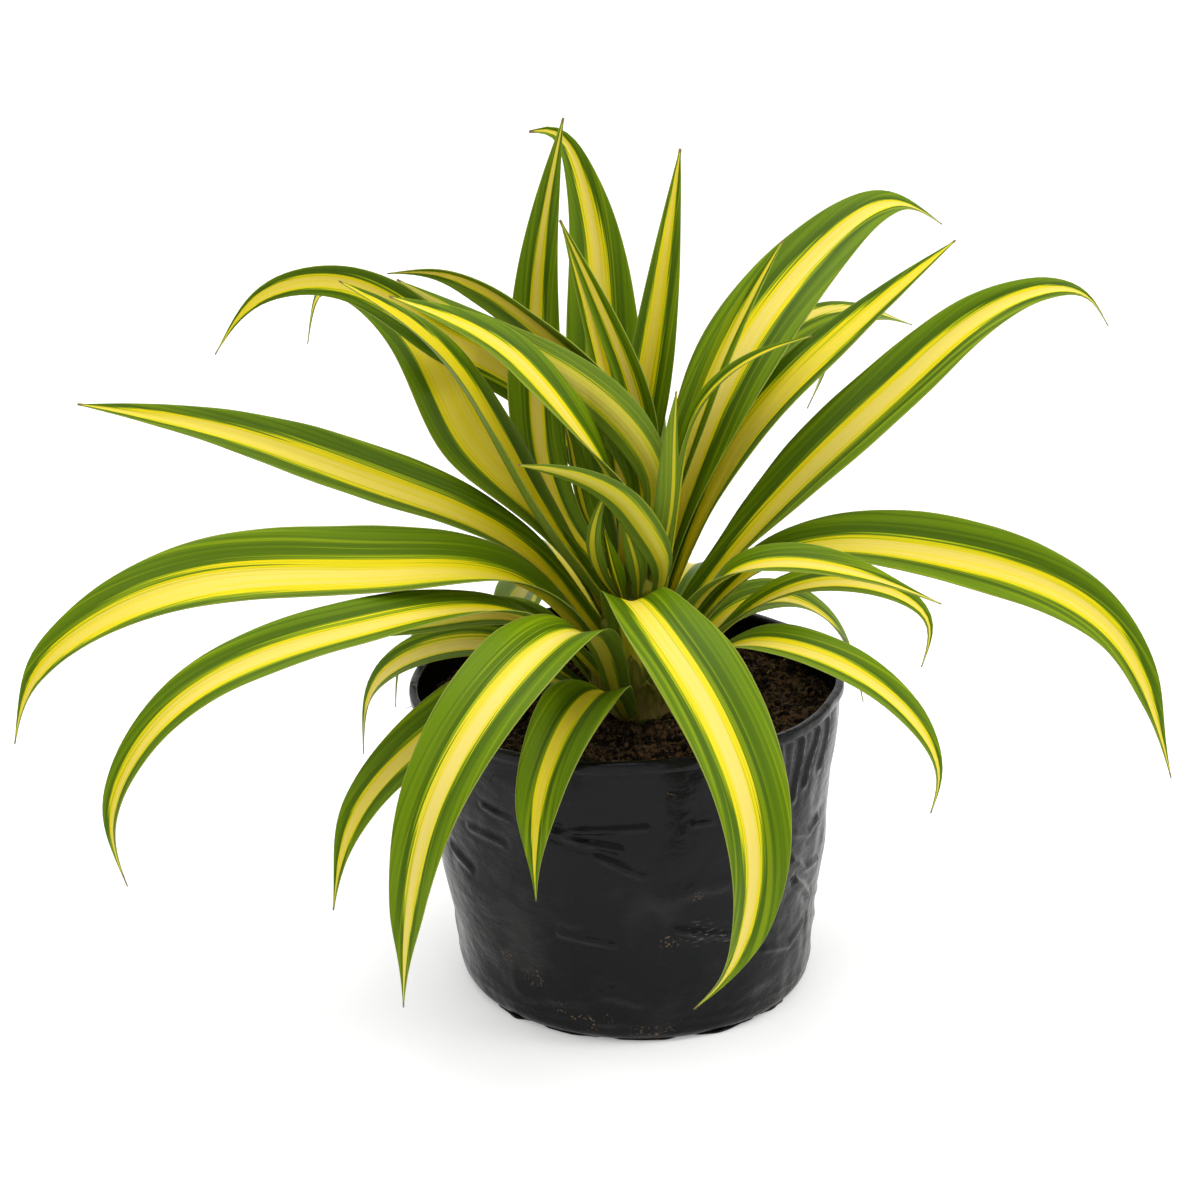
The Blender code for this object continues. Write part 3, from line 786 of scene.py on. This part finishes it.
def crown_finish():
    material, tree = new_finish("crown_finish")
    place = on_piece(tree)
    _, _, height = apart(tree, place)
    streaks = cloud(tree, stretch(tree, place, (900, 900, 40)), 1, 2)
    patches = cloud(tree, place, 90, 2)
    pale = blend(tree, fade(tree, streaks, 0.35, 0.7), SHEATH_GREEN, SHEATH_PALE)
    low = fade(tree, plus(tree, height, times(tree, patches, 0.02)), 0.126, 0.112)
    colour = blend(tree, times(tree, low, 0.75), pale, SHEATH_TAN)
    coat(tree, colour, 0.5, emboss(tree, streaks, 0.0004), SHEATH_GLOSS)
    return material


crown_skin = crown_finish()
print("crown finish ready")

# %% The stem
root_bottom = SOIL_TOP - ROOT_DEPTH
levels = np.linspace(0.102, CROWN_TOP - 0.001, 46)
profile = [(0, CROWN_TOP), (CROWN_TOP_RADIUS * 0.6, CROWN_TOP)]
profile += [(crown_radius(level), level) for level in reversed(levels)]
profile += [(CROWN_FOOT_RADIUS - CROWN_RELIEF, SOIL_TOP + SOIL_MOUND), (ROOT_RADIUS, SOIL_TOP - 0.008)]
profile += [(ROOT_RADIUS * 0.8, root_bottom + 0.006), (ROOT_RADIUS * 0.45, root_bottom), (0, root_bottom)]
bm = spun(profile, CROWN_SIDES)
for vert in bm.verts:
    radius = math.hypot(vert.co.x, vert.co.y)
    if radius < 1e-4 or vert.co.z < SOIL_TOP:
        continue
    turn = math.atan2(vert.co.y, vert.co.x)
    sheath = abs(math.sin(SHEATHS_ROUND * turn / 2 + SHEATH_CLIMB * vert.co.z)) - 0.5
    push_out(vert.co, CROWN_RELIEF * sheath, radius)
crown = join("crown_stem", bm, crown_skin)
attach(crown, "root")
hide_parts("crown")
print("crown:", len(crown.data.polygons), "faces")

# %% Old sheaths round the foot
# Each: the azimuth, the height of its foot, its length, how far it wraps and how far its tip leans out.
OLD_SHEATHS = [(262, 0.100, 0.026, 60, 0.004), (292, 0.101, 0.020, 50, 0.003), (238, 0.104, 0.030, 58, 0.004),
               (250, 0.112, 0.026, 64, 0.002), (226, 0.101, 0.022, 50, 0.005), (278, 0.100, 0.017, 46, 0.006),
               (318, 0.100, 0.020, 46, 0.004), (200, 0.101, 0.022, 44, 0.005), (20, 0.100, 0.021, 50, 0.004),
               (90, 0.100, 0.024, 52, 0.005), (140, 0.101, 0.020, 44, 0.004)]
OLD_SHEATH_THICKNESS = 0.0004


def add_old_sheath(bm, azimuth, foot, length, wrap, lean):
    made = bmesh.ops.create_grid(bm, x_segments=18, y_segments=12, size=0.5)["verts"]
    for vert in made:
        up, across = vert.co.x + 0.5, vert.co.y * 2
        narrowed = (1 - up) ** 0.55 * wrap / 2
        height = foot + length * up * (1 - 0.08 * abs(across))
        ripple = 0.0005 * noise.noise(Vector((across * 3, up * 4, azimuth)))
        radius = crown_radius(height) + 0.0012 + lean * up ** 2 + ripple
        vert.co = polar(azimuth + across * narrowed, radius, height)


bm = bmesh.new()
for sheath in OLD_SHEATHS:
    add_old_sheath(bm, *sheath)
old_sheaths = join("old_sheaths", bm, crown_skin)
thicken(old_sheaths, OLD_SHEATH_THICKNESS, 0)
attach(old_sheaths, "root")
print(len(OLD_SHEATHS), "old sheaths")

# %% [markdown]
# ## Where each leaf runs
# A leaf can't be told from its neighbour by a rule: each has its own place on the crown, its own arch and
# its own width. So each one is a row of a table, read off the photograph: the foot, the points that the
# midrib passes through, the width, and how the blade rolls and folds. The leaves behind are hidden there,
# and were filled in to match. Azimuths are degrees about the upright axis: 0 is the plant's right, 90 the
# back and 270 the front. Lengths in the table are millimetres: a foot is an azimuth and a height, and each
# point of a path is an azimuth, a distance from the axis and a height. The roll is given at the foot and
# further out, in degrees.

# %% The leaves
Leaf = namedtuple("Leaf", "name foot width roll fold path")

LOW_LEAVES = [
    Leaf("leaf_front_left", (246, 106), 30, (0, 15), 18,
         [(246, 40, 139), (244, 90, 145), (240.5, 132, 114), (238, 142, 46)]),
    Leaf("leaf_front_short", (256, 102), 25, (0, 10), 20,
         [(254, 40, 120), (252, 74, 123), (251, 99, 106), (251, 103, 72)]),
    Leaf("leaf_left_low", (219, 104), 23, (10, 25), 20,
         [(218, 45, 120), (216, 86, 109), (216, 117, 84), (217, 126, 58)]),
    Leaf("leaf_left_narrow", (188, 110), 16, (10, 30), 24,
         [(187, 41, 133), (185, 70, 132), (184, 105, 126)]),
    Leaf("leaf_back_left_low", (174, 102), 19, (10, 30), 20,
         [(173, 45, 118), (172, 71, 116), (171, 93, 100), (171, 98, 74)]),
    Leaf("leaf_back_left_short", (156, 106), 16, (10, 20), 20,
         [(155, 40, 124.5), (157, 66, 121), (160, 87, 107), (161, 91, 86)]),
    Leaf("leaf_right_low", (312, 106), 21, (0, -20), 20,
         [(312, 52, 137), (318, 81, 138), (322, 107, 126), (323, 121, 105), (322, 120, 92)]),
    Leaf("leaf_back_right_low", (44, 104), 20, (0, -20), 20,
         [(44, 40, 119), (41, 70, 121), (37, 90, 107), (35, 102, 76)]),
    Leaf("leaf_back_low", (78, 104), 26, (0, 0), 18, [(78, 50, 122), (76, 100, 114), (76, 130, 64)]),
    Leaf("leaf_back_hanging", (120, 104), 24, (0, 0), 18, [(118, 50, 120), (116, 95, 110), (115, 122, 62)]),
]

MIDDLE_LEAVES = [
    Leaf("leaf_left_broad", (206.5, 120), 37, (7, 36), 22,
         [(203, 45, 151), (200, 92, 159.5), (198, 150, 162),
          (197, 188, 149), (196.5, 206, 132), (196, 213, 110)]),
    Leaf("leaf_left_long", (222, 113), 24, (0, 32), 22,
         [(218, 50, 144), (215, 110, 152), (212, 178, 133), (211, 195, 103), (210, 190, 76)]),
    Leaf("leaf_left_straight", (164, 124), 29, (5, 30), 24,
         [(162, 42, 151), (164, 90, 170), (165, 150, 186), (166, 202, 193)]),
    Leaf("leaf_front_right", (270, 118), 36, (-5, 0), 18,
         [(265, 30, 149), (277, 55, 148), (284, 82, 136), (288, 114, 100),
          (287, 117, 72), (283, 113, 49), (279, 110, 39)]),
    Leaf("leaf_right_mid", (320, 122), 21, (0, -30), 22, [(322, 42, 158), (332, 72, 162), (338, 107, 152)]),
    Leaf("leaf_right_hook", (336, 114), 17, (0, -30), 22,
         [(342, 50, 146), (344, 83, 151), (344, 100, 141), (343, 99, 125)]),
    Leaf("leaf_right_arch", (4, 120), 32, (0, -45), 22,
         [(5, 45, 150), (4, 100, 152), (1, 163, 125), (-1, 186, 73)]),
    Leaf("leaf_right_long", (16, 128), 28, (-5, -35), 22,
         [(17, 47, 164), (19, 98, 207), (20, 142, 232), (20, 166, 230), (20, 176, 218)]),
    Leaf("leaf_back", (92, 124), 28, (0, 0), 20, [(92, 60, 156), (91, 120, 158), (90, 175, 92)]),
    Leaf("leaf_back_left", (128, 116), 26, (0, 0), 20, [(116, 50, 130), (108, 105, 122), (106, 155, 66)]),
    Leaf("leaf_back_right_hook", (64, 130), 15, (0, -20), 22,
         [(62, 60, 183), (61, 120, 205), (60, 142, 189), (60, 128, 172)]),
]

UPPER_LEAVES = [
    Leaf("leaf_right_straight", (17, 138), 21, (-8, -30), 24,
         [(26, 42, 191), (28, 73, 216), (30, 128, 248)]),
    Leaf("leaf_right_high", (46, 142), 31, (-5, -33), 22,
         [(44, 46, 211), (45, 93, 245.5), (44, 128, 255), (43, 151, 244)]),
    Leaf("leaf_right_slim", (40, 152), 15, (0, -10), 30, [(32, 20, 190), (30, 32, 219), (30, 56, 257)]),
    Leaf("leaf_back_right_arch", (61, 134), 22, (0, -20), 22,
         [(54, 50, 190), (50, 110, 214), (50, 160, 201)]),
    Leaf("leaf_right_thin", (350, 146), 11, (0, -20), 30,
         [(356, 14, 178), (3, 19, 203), (354, 41, 227), (352, 57, 234)]),
    Leaf("leaf_left_arch", (123, 134), 21, (4, 35), 20,
         [(110, 46, 169), (122, 68, 196), (148, 82, 221),
          (160, 106, 240), (166, 133, 236), (169, 147, 217)]),
    Leaf("leaf_left_wide", (141, 128.5), 28, (0, 30), 22,
         [(144, 34, 154), (145, 73, 183), (145, 101, 220), (147, 130, 229), (147, 140, 207)]),
    Leaf("leaf_left_pale", (290, 157), 17.5, (12, 35), 24,
         [(318, 8, 182), (176, 13, 209), (162, 44.5, 224.5), (160, 87, 243)]),
    Leaf("leaf_left_second_arch", (75, 156), 23.5, (6, 40), 22,
         [(76, 9.5, 179), (117, 13.2, 199), (142, 45.5, 228), (147, 85, 241), (149, 101, 239)]),
    Leaf("leaf_front_arch", (222, 147), 29, (10, 58), 16,
         [(238, 14.5, 180), (210, 26, 205), (194, 45, 229), (192, 83, 250)]),
    Leaf("leaf_back_upper", (90, 131), 19, (0, 0), 22, [(88, 42, 163), (89, 90, 178), (90, 150, 139)]),
    Leaf("leaf_left_front", (192, 138), 31, (8, 14), 24,
         [(180, 28, 158), (175, 44, 184), (172, 57, 207), (174, 70, 226), (179, 99, 250)]),
]

INNER_LEAVES = [
    Leaf("leaf_tall_left", (140, 143), 22, (15, 32), 26,
         [(138.5, 33, 158), (134, 48, 175), (128, 59, 200), (123.5, 62, 247), (117, 56, 294)]),
    Leaf("leaf_tall_back", (100, 141), 30, (0, 0), 24,
         [(104, 47, 195), (103, 60, 230), (106, 74, 270), (112, 80, 284), (117, 83, 284)]),
    Leaf("leaf_tall_right", (100, 145.5), 18, (0, 0), 28,
         [(92, 26, 178), (85, 33, 205), (75, 37, 252), (70, 41, 286)]),
    Leaf("leaf_folded_front", (90, 150), 14, (0, 0), 40, [(84, 17, 191), (124, 23.5, 237), (143, 33, 266)]),
    Leaf("leaf_folded_back", (120, 148), 15, (0, 0), 34, [(110, 22.5, 189), (121, 33, 231), (133, 37, 261)]),
    Leaf("leaf_inner_left", (300, 142), 12.5, (0, 20), 26,
         [(290, 22, 160), (274, 24, 172), (256, 29, 184), (237, 38, 193), (223, 54, 199)]),
    Leaf("leaf_bud", (316, 150), 13, (0, 0), 30, [(312, 16.5, 180), (314, 16.5, 200), (317, 16.5, 216)]),
    Leaf("leaf_heart_left", (220, 143), 9.5, (0, 0), 32,
         [(224.5, 22, 159), (229, 24, 170), (235, 18.5, 183)]),
    Leaf("leaf_heart_front", (243, 142), 7, (0, 0), 30, [(241, 18, 156), (236, 21, 170)]),
    Leaf("leaf_heart_right", (269, 144), 8, (0, 0), 32,
         [(267, 18.5, 158), (261, 20.5, 167), (253, 21, 177)]),
    Leaf("leaf_heart_back", (160, 150), 10, (10, 30), 28,
         [(150, 18, 162), (142, 24, 171), (138, 30, 186), (138.5, 34, 197)]),
]

def in_metres(leaf):
    azimuth, height = leaf.foot
    path = [(turn, radius * MM, level * MM) for turn, radius, level in leaf.path]
    return leaf._replace(foot=(azimuth, height * MM), width=leaf.width * MM, path=path)


LEAVES = [in_metres(leaf) for leaf in LOW_LEAVES + MIDDLE_LEAVES + UPPER_LEAVES + INNER_LEAVES]
print(len(LEAVES), "leaves")

# %% [markdown]
# ## The shape of a blade
# A blade is a grid that is bent to its midrib. The midrib is a smooth curve through the leaf's points.
# Across it the blade is a shallow V with a rounded bottom, deep near the foot, where the leaf is folded
# like a keel, and nearly flat further out. Its outline swells from a narrow foot and then tapers to a long
# fine tip.

# %% The midrib
def spline(points, count):
    """Evenly spaced points on the smoothest curve through the given points, and its length."""
    points = np.asarray(points)
    knots = np.concatenate([[0], np.cumsum(np.linalg.norm(np.diff(points, axis=0), axis=1))])
    steps = np.diff(knots)
    last = len(points) - 1
    matrix = np.eye(last + 1)
    bends = np.zeros_like(points)
    for i in range(1, last):
        matrix[i, i - 1:i + 2] = steps[i - 1], 2 * (steps[i - 1] + steps[i]), steps[i]
        slopes = (points[i + 1] - points[i]) / steps[i] - (points[i] - points[i - 1]) / steps[i - 1]
        bends[i] = 6 * slopes
    bends = np.linalg.solve(matrix, bends)

    def at(values):
        i = np.clip(np.searchsorted(knots, values, side="right") - 1, 0, last - 1)
        step = steps[i][:, None]
        ahead = (knots[i + 1] - values)[:, None]
        behind = (values - knots[i])[:, None]
        cubic = (bends[i] * ahead ** 3 + bends[i + 1] * behind ** 3) / (6 * step)
        left = (points[i] / step - bends[i] * step / 6) * ahead
        right = (points[i + 1] / step - bends[i + 1] * step / 6) * behind
        return cubic + left + right

    fine = np.linspace(0, knots[-1], 400)
    walked = np.concatenate([[0], np.cumsum(np.linalg.norm(np.diff(at(fine), axis=0), axis=1))])
    return at(np.interp(np.linspace(0, walked[-1], count), walked, fine)), walked[-1]


LEAF_STANDOFF = 0.0026


def leaf_midrib(leaf, count):
    azimuth, height = leaf.foot
    foot = polar(azimuth, crown_radius(height) + LEAF_STANDOFF, height)
    return spline([foot] + [polar(*point) for point in leaf.path], count)


print("longest leaf", round(max(leaf_midrib(leaf, 2)[1] for leaf in LEAVES) / MM), "mm")

# %% The outline and the fold
LEAF_TIP_WIDTH = 0.0007
LEAF_FOOT_WIDTH = 0.40
LEAF_WIDEST_AT = 0.42
LEAF_TAPER = 1.6
LEAF_FOOT_FOLD = 34.0
LEAF_OPEN_AT = 0.3
LEAF_ROLLED_AT = 0.7
MIDRIB_ROUNDING = 0.02


def half_width(leaf, share):
    """Half the blade's width at a share of its length."""
    swell = LEAF_FOOT_WIDTH + (1 - LEAF_FOOT_WIDTH) * smooth(share / LEAF_WIDEST_AT)
    fall = np.clip((share - LEAF_WIDEST_AT) / (1 - LEAF_WIDEST_AT), 0, 1)
    return np.maximum(leaf.width * swell * (1 - fall ** LEAF_TAPER), LEAF_TIP_WIDTH) / 2


def leaf_frames(leaf, centres):
    """The side and face directions along the midrib, carried along without twist and then rolled."""
    tangents = np.gradient(centres, axis=0)
    tangents /= np.linalg.norm(tangents, axis=1)[:, None]
    turn = math.radians(leaf.foot[0])
    side = np.array([-math.sin(turn), math.cos(turn), 0.0])
    count = len(centres)
    sides, faces = np.empty((count, 3)), np.empty((count, 3))
    for i, tangent in enumerate(tangents):
        side = side - tangent * (side @ tangent)
        side /= np.linalg.norm(side)
        rolled = float(smooth(i / (count - 1) / LEAF_ROLLED_AT))
        roll = math.radians(leaf.roll[0] + (leaf.roll[1] - leaf.roll[0]) * rolled)
        face = np.cross(tangent, side)
        sides[i] = side * math.cos(roll) - face * math.sin(roll)
        faces[i] = face * math.cos(roll) + side * math.sin(roll)
    return tangents, sides, faces


print("blade outline at 0, 1/4, 1/2, 3/4 and 1:",
      [round(float(half_width(LEAVES[0], share)) * 2000, 1) for share in (0, 0.25, 0.5, 0.75, 1)], "mm")

# %% [markdown]
# ## The leaf's finish
# The colours follow the blade and not the room: cream and yellow along the middle, lime where the two
# tissues mix, and green at the margins, all drawn out into long fine streaks, because the veins run side by
# side from foot to tip. So each blade carries two coordinates of its own, across and along, and the finish
# reads them. The edge is a pale hairline, and the tip is dry and tan. Since no two leaves are alike, a few
# numbers per leaf set its stripe: how wide it is, how far off the middle it lies, how cream it has faded
# and how ragged its edges are.

# %% Colours of a leaf
CREAM = (0.700, 0.565, 0.120)
WHITE_CREAM = (0.800, 0.740, 0.330)
YELLOW = (0.690, 0.560, 0.004)
LIME = (0.270, 0.350, 0.003)
GREEN = (0.112, 0.190, 0.002)
DEEP_GREEN = (0.042, 0.086, 0.0015)
EDGE_PALE = (0.300, 0.340, 0.060)
TIP_TAN = (0.200, 0.150, 0.050)
SHEATH_OLIVE = (0.130, 0.130, 0.012)
UNDERSIDE = (0.150, 0.215, 0.030)
LEAF_GLOSS = 0.08
TOP_ROUGHNESS = (0.33, 0.46)
UNDERSIDE_ROUGHNESS = (0.42, 0.56)
RIB_RELIEF = 0.00035


def leaf_finish(name, underside):
    material, tree = new_finish(name)
    across, along, _ = apart(tree, given(tree, "blade"))
    offset, half, cream = apart(tree, given(tree, "stripe"))
    depth, dry_end, wander = apart(tree, given(tree, "tone"))
    metric = given(tree, "metric")
    fine = cloud(tree, stretch(tree, metric, (2300, 9, 1)), 1, 2, 0.6)
    middling = cloud(tree, stretch(tree, metric, (760, 4, 1)), 1, 2)
    broad = cloud(tree, stretch(tree, metric, (250, 6, 1)), 1, 2)

    # How far a point lies from the middle of the stripe, as a share of half the stripe's width.
    distance = calc(tree, "DIVIDE", calc(tree, "ABSOLUTE", calc(tree, "SUBTRACT", across, offset)), half)
    distance = plus(tree, distance, times(tree, calc(tree, "SUBTRACT", middling, 0.5), wander))
    distance = plus(tree, distance, times(tree, calc(tree, "SUBTRACT", fine, 0.5), 0.45))

    # The stripe: cream along its middle, yellow beside that, with streaks of the one in the other.
    core = times(tree, fade(tree, distance, 0.78, 0.42), fade(tree, along, 0.02, 0.42))
    creamy = calc(tree, "MULTIPLY", core, cream, clamp=True)
    streaked = times(tree, fade(tree, middling, 0.50, 0.60), 0.60)
    creamy = times(tree, creamy, calc(tree, "SUBTRACT", 1.0, streaked))
    middle = blend(tree, creamy, YELLOW, CREAM)
    middle = blend(tree, fade(tree, cream, 1.0, 1.6), middle, WHITE_CREAM)
    lines = times(tree, fade(tree, fine, 0.52, 0.62), fade(tree, distance, 0.40, 0.95))
    middle = blend(tree, times(tree, lines, 0.85), middle, LIME)

    # The margins: deep green next to the stripe, lighter outwards, with long streaks of both.
    beside = times(tree, fade(tree, distance, 2.5, 1.3), depth)
    margin = blend(tree, beside, GREEN, DEEP_GREEN)
    margin = blend(tree, times(tree, fade(tree, middling, 0.49, 0.38), 0.40), margin, DEEP_GREEN)
    long_streak = times(tree, fade(tree, middling, 0.54, 0.63), fade(tree, broad, 0.42, 0.56))
    margin = blend(tree, times(tree, long_streak, 0.45), margin, LIME)
    mixed = blend(tree, fade(tree, fine, 0.42, 0.58), LIME, GREEN)
    margin = blend(tree, fade(tree, distance, 1.10, 1.28), mixed, margin)
    colour = blend(tree, fade(tree, distance, 1.05, 0.97), margin, middle)

    edge = fade(tree, calc(tree, "ABSOLUTE", across), 0.972, 0.992)
    colour = blend(tree, times(tree, edge, 0.7), colour, EDGE_PALE)
    from_tip = calc(tree, "SUBTRACT", 1.0, along)
    ragged = plus(tree, from_tip, times(tree, calc(tree, "SUBTRACT", fine, 0.5), 0.01))
    dry = fade(tree, calc(tree, "DIVIDE", ragged, dry_end), 1.1, 0.55)
    if underside:
        colour = blend(tree, 0.40, colour, UNDERSIDE)
    foot = fade(tree, along, 0.045, -0.04)
    colour = blend(tree, times(tree, foot, 0.8), colour, SHEATH_OLIVE)
    colour = blend(tree, dry, colour, TIP_TAN)

    ribs = plus(tree, times(tree, fine, 0.35), times(tree, middling, 0.6))
    ribs = plus(tree, ribs, times(tree, broad, 0.8))
    roughness = fade(tree, fine, 0.2, 0.8, *(UNDERSIDE_ROUGHNESS if underside else TOP_ROUGHNESS))
    coat(tree, colour, roughness, emboss(tree, ribs, RIB_RELIEF), LEAF_GLOSS)
    return material


leaf_top = leaf_finish("striped_leaf_finish", False)
leaf_back = leaf_finish("leaf_underside_finish", True)
print("leaf finishes ready")

# %% Each leaf's stripe
# How far off the middle the stripe lies and its half width, both as shares of half the blade's width; how
# cream it is; how deep the green beside it is; how far the stripe's edges wander; how much of the tip is dry.
Look = namedtuple("Look", "offset half cream depth wander dry", defaults=(0.91, 0.012))
USUAL = Look(0.0, 0.34, 0.85, 0.75)
LOOKS = {
    "left_broad": Look(0.19, 0.50, 0.80, 0.55),
    "left_long": Look(0.05, 0.38, 0.90, 0.60, 0.91, 0.030),
    "left_straight": Look(0.00, 0.40, 0.60, 0.60, 1.04),
    "left_wide": Look(-0.15, 0.45, 0.40, 0.80, 1.17),
    "left_arch": Look(0.05, 0.46, 0.60, 0.85, 1.17),
    "left_front": Look(-0.25, 0.30, 0.10, 0.90, 1.17),
    "left_pale": Look(0.00, 0.44, 0.90, 0.50, 1.17),
    "left_second_arch": Look(0.00, 0.34, 1.00, 0.70),
    "front_arch": Look(0.00, 0.36, 1.00, 0.80),
    "front_left": Look(0.05, 0.30, 1.10, 0.80),
    "front_short": Look(0.00, 0.24, 0.30, 0.95, 1.04),
    "front_right": Look(-0.11, 0.34, 1.05, 0.75, 0.78),
    "back_left_low": Look(0.00, 0.44, 1.05, 0.60, 1.17, 0.030),
    "right_straight": Look(0.00, 0.50, 0.45, 0.90, 1.17),
    "right_long": Look(0.00, 0.34, 0.85, 0.90, 1.04),
    "right_high": Look(0.00, 0.30, 1.00, 0.85),
    "right_slim": Look(0.00, 0.36, 0.90, 0.90),
    "right_thin": Look(0.00, 0.30, 0.20, 0.85, 1.17),
    "right_arch": Look(0.00, 0.34, 0.80, 0.80, 1.04),
    "back_right_arch": Look(0.55, 0.20, 1.20, 0.60, 1.04),
    "back_right_hook": Look(0.00, 0.50, 1.40, 0.60, 1.17, 0.030),
    "tall_left": Look(-0.08, 0.24, 0.80, 0.85, 1.17),
    "tall_right": Look(0.10, 0.42, 0.50, 0.80),
    "inner_left": Look(0.10, 0.44, 0.60, 0.80),
    "bud": Look(0.00, 0.16, 0.10, 0.80, 1.30),
    "heart_left": Look(0.20, 0.20, 0.10, 0.90, 1.30),
    "heart_front": Look(0.00, 0.14, 0.10, 1.00, 1.30),
    "heart_right": Look(0.00, 0.14, 0.10, 1.00, 1.30),
    "heart_back": Look(0.30, 0.20, 0.20, 1.00, 1.30),
}
print(len(LOOKS), "leaves with a look of their own")

# %% Bend a grid to each leaf
BLADE_STEP = 0.0030
BLADE_ACROSS = 18
BLADE_THICKNESS = 0.00034
CLASP_ROWS = 7
CLASP_DROP = 0.014
CLASP_WRAP = 62
EDGE_WAVE = 0.0006
# Over this length a drooping leaf is drawn out to its tip.
FINE_TIP = 0.035
# A few leaves are broader low down than the rest.
BROAD_LOW = {"left_broad": 0.30, "front_arch": 0.25, "left_front": 0.25, "right_long": 0.15}
# Leaves that start higher than this clasp a thinner stem, and less of it.
HIGH_FOOT = 0.140
HIGH_CLASP = 0.6


def clasp_point(leaf, share, across, start, tangent):
    """A point of the sheath below the foot: it hugs the crown low down and runs into the blade above."""
    azimuth, height = leaf.foot
    drop = min(CLASP_DROP, height - SOIL_TOP - 0.001)
    level = height - drop * (1 - share)
    wrap = CLASP_WRAP * (1 - 0.55 * share) * (HIGH_CLASP if height > HIGH_FOOT else 1.0)
    radius = crown_radius(level) + 0.0009 + 0.0004 * across ** 2
    hugging = polar(azimuth + across * wrap, radius, level)
    reaching = start - tangent * drop * (1 - share)
    mixed = float(smooth(share))
    return hugging * (1 - mixed) + reaching * mixed


def make_blade(leaf, number):
    """One blade with its clasp, from the grid that every leaf starts as."""
    which = leaf.name.replace("leaf_", "")
    look = LOOKS.get(which, USUAL)
    stations = max(40, int(leaf_midrib(leaf, 2)[1] / BLADE_STEP))
    centres, length = leaf_midrib(leaf, stations + 1)
    tangents, sides, faces = leaf_frames(leaf, centres)
    shares = np.linspace(0, 1, stations + 1)
    halves = half_width(leaf, shares)
    low_down = smooth(shares / 0.10) * smooth((0.50 - shares) / 0.35)
    halves *= 1 + BROAD_LOW.get(which, 0) * low_down
    if leaf.path[-1][2] < leaf.path[-2][2]:
        halves *= 0.45 + 0.55 * smooth((1 - shares) * length / FINE_TIP)
    folds = np.radians(leaf.fold + (LEAF_FOOT_FOLD - leaf.fold) * (1 - smooth(shares / LEAF_OPEN_AT)))

    def blade_point(i, across):
        lift = math.sqrt(across ** 2 + MIDRIB_ROUNDING) - math.sqrt(MIDRIB_ROUNDING)
        out = sides[i] * across * math.cos(folds[i]) + faces[i] * lift * math.sin(folds[i])
        calm = min(1, shares[i] * 6) * min(1, halves[i] / 0.006)
        wave = EDGE_WAVE * calm * abs(across) ** 3
        wave *= noise.noise(Vector((shares[i] * length * 45, across, number)))
        return centres[i] + out * halves[i] + faces[i] * wave

    bm = bmesh.new()
    rows = stations + CLASP_ROWS
    vectors = bm.verts.layers.float_vector
    for name in ("blade", "stripe", "tone", "metric"):
        vectors.new(name)
    # Each new layer moves the ones before it, so they are looked up once all exist.
    layers = {name: vectors[name] for name in vectors.keys()}
    for vert in bmesh.ops.create_grid(bm, x_segments=rows, y_segments=BLADE_ACROSS, size=0.5)["verts"]:
        row = int(round((vert.co.x + 0.5) * rows)) - CLASP_ROWS
        across = vert.co.y * 2
        along = row / stations
        i = max(row, 0)
        if row < 0:
            vert.co = clasp_point(leaf, 1 + row / CLASP_ROWS, across, blade_point(0, across), tangents[0])
            along = 0.1 * row / CLASP_ROWS
        else:
            vert.co = blade_point(row, across)
        vert[layers["blade"]] = (across, along, number)
        vert[layers["stripe"]] = (look.offset, look.half, look.cream)
        vert[layers["tone"]] = (look.depth, look.dry, look.wander)
        vert[layers["metric"]] = (across * halves[i], along * length, number * 0.37)
    bmesh.ops.recalc_face_normals(bm, faces=bm.faces)
    made = join("blade_" + which, bm, leaf_top)
    made.data.materials.append(leaf_back)
    made.data.materials.append(leaf_top)
    modifier = thicken(made, BLADE_THICKNESS, -1)
    modifier.material_offset = 1
    modifier.material_offset_rim = 0
    return made


for number, leaf in enumerate(LEAVES):
    blade = make_blade(leaf, number)
    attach(blade, "root")
    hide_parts(leaf.name)
print(len(LEAVES), "blades")
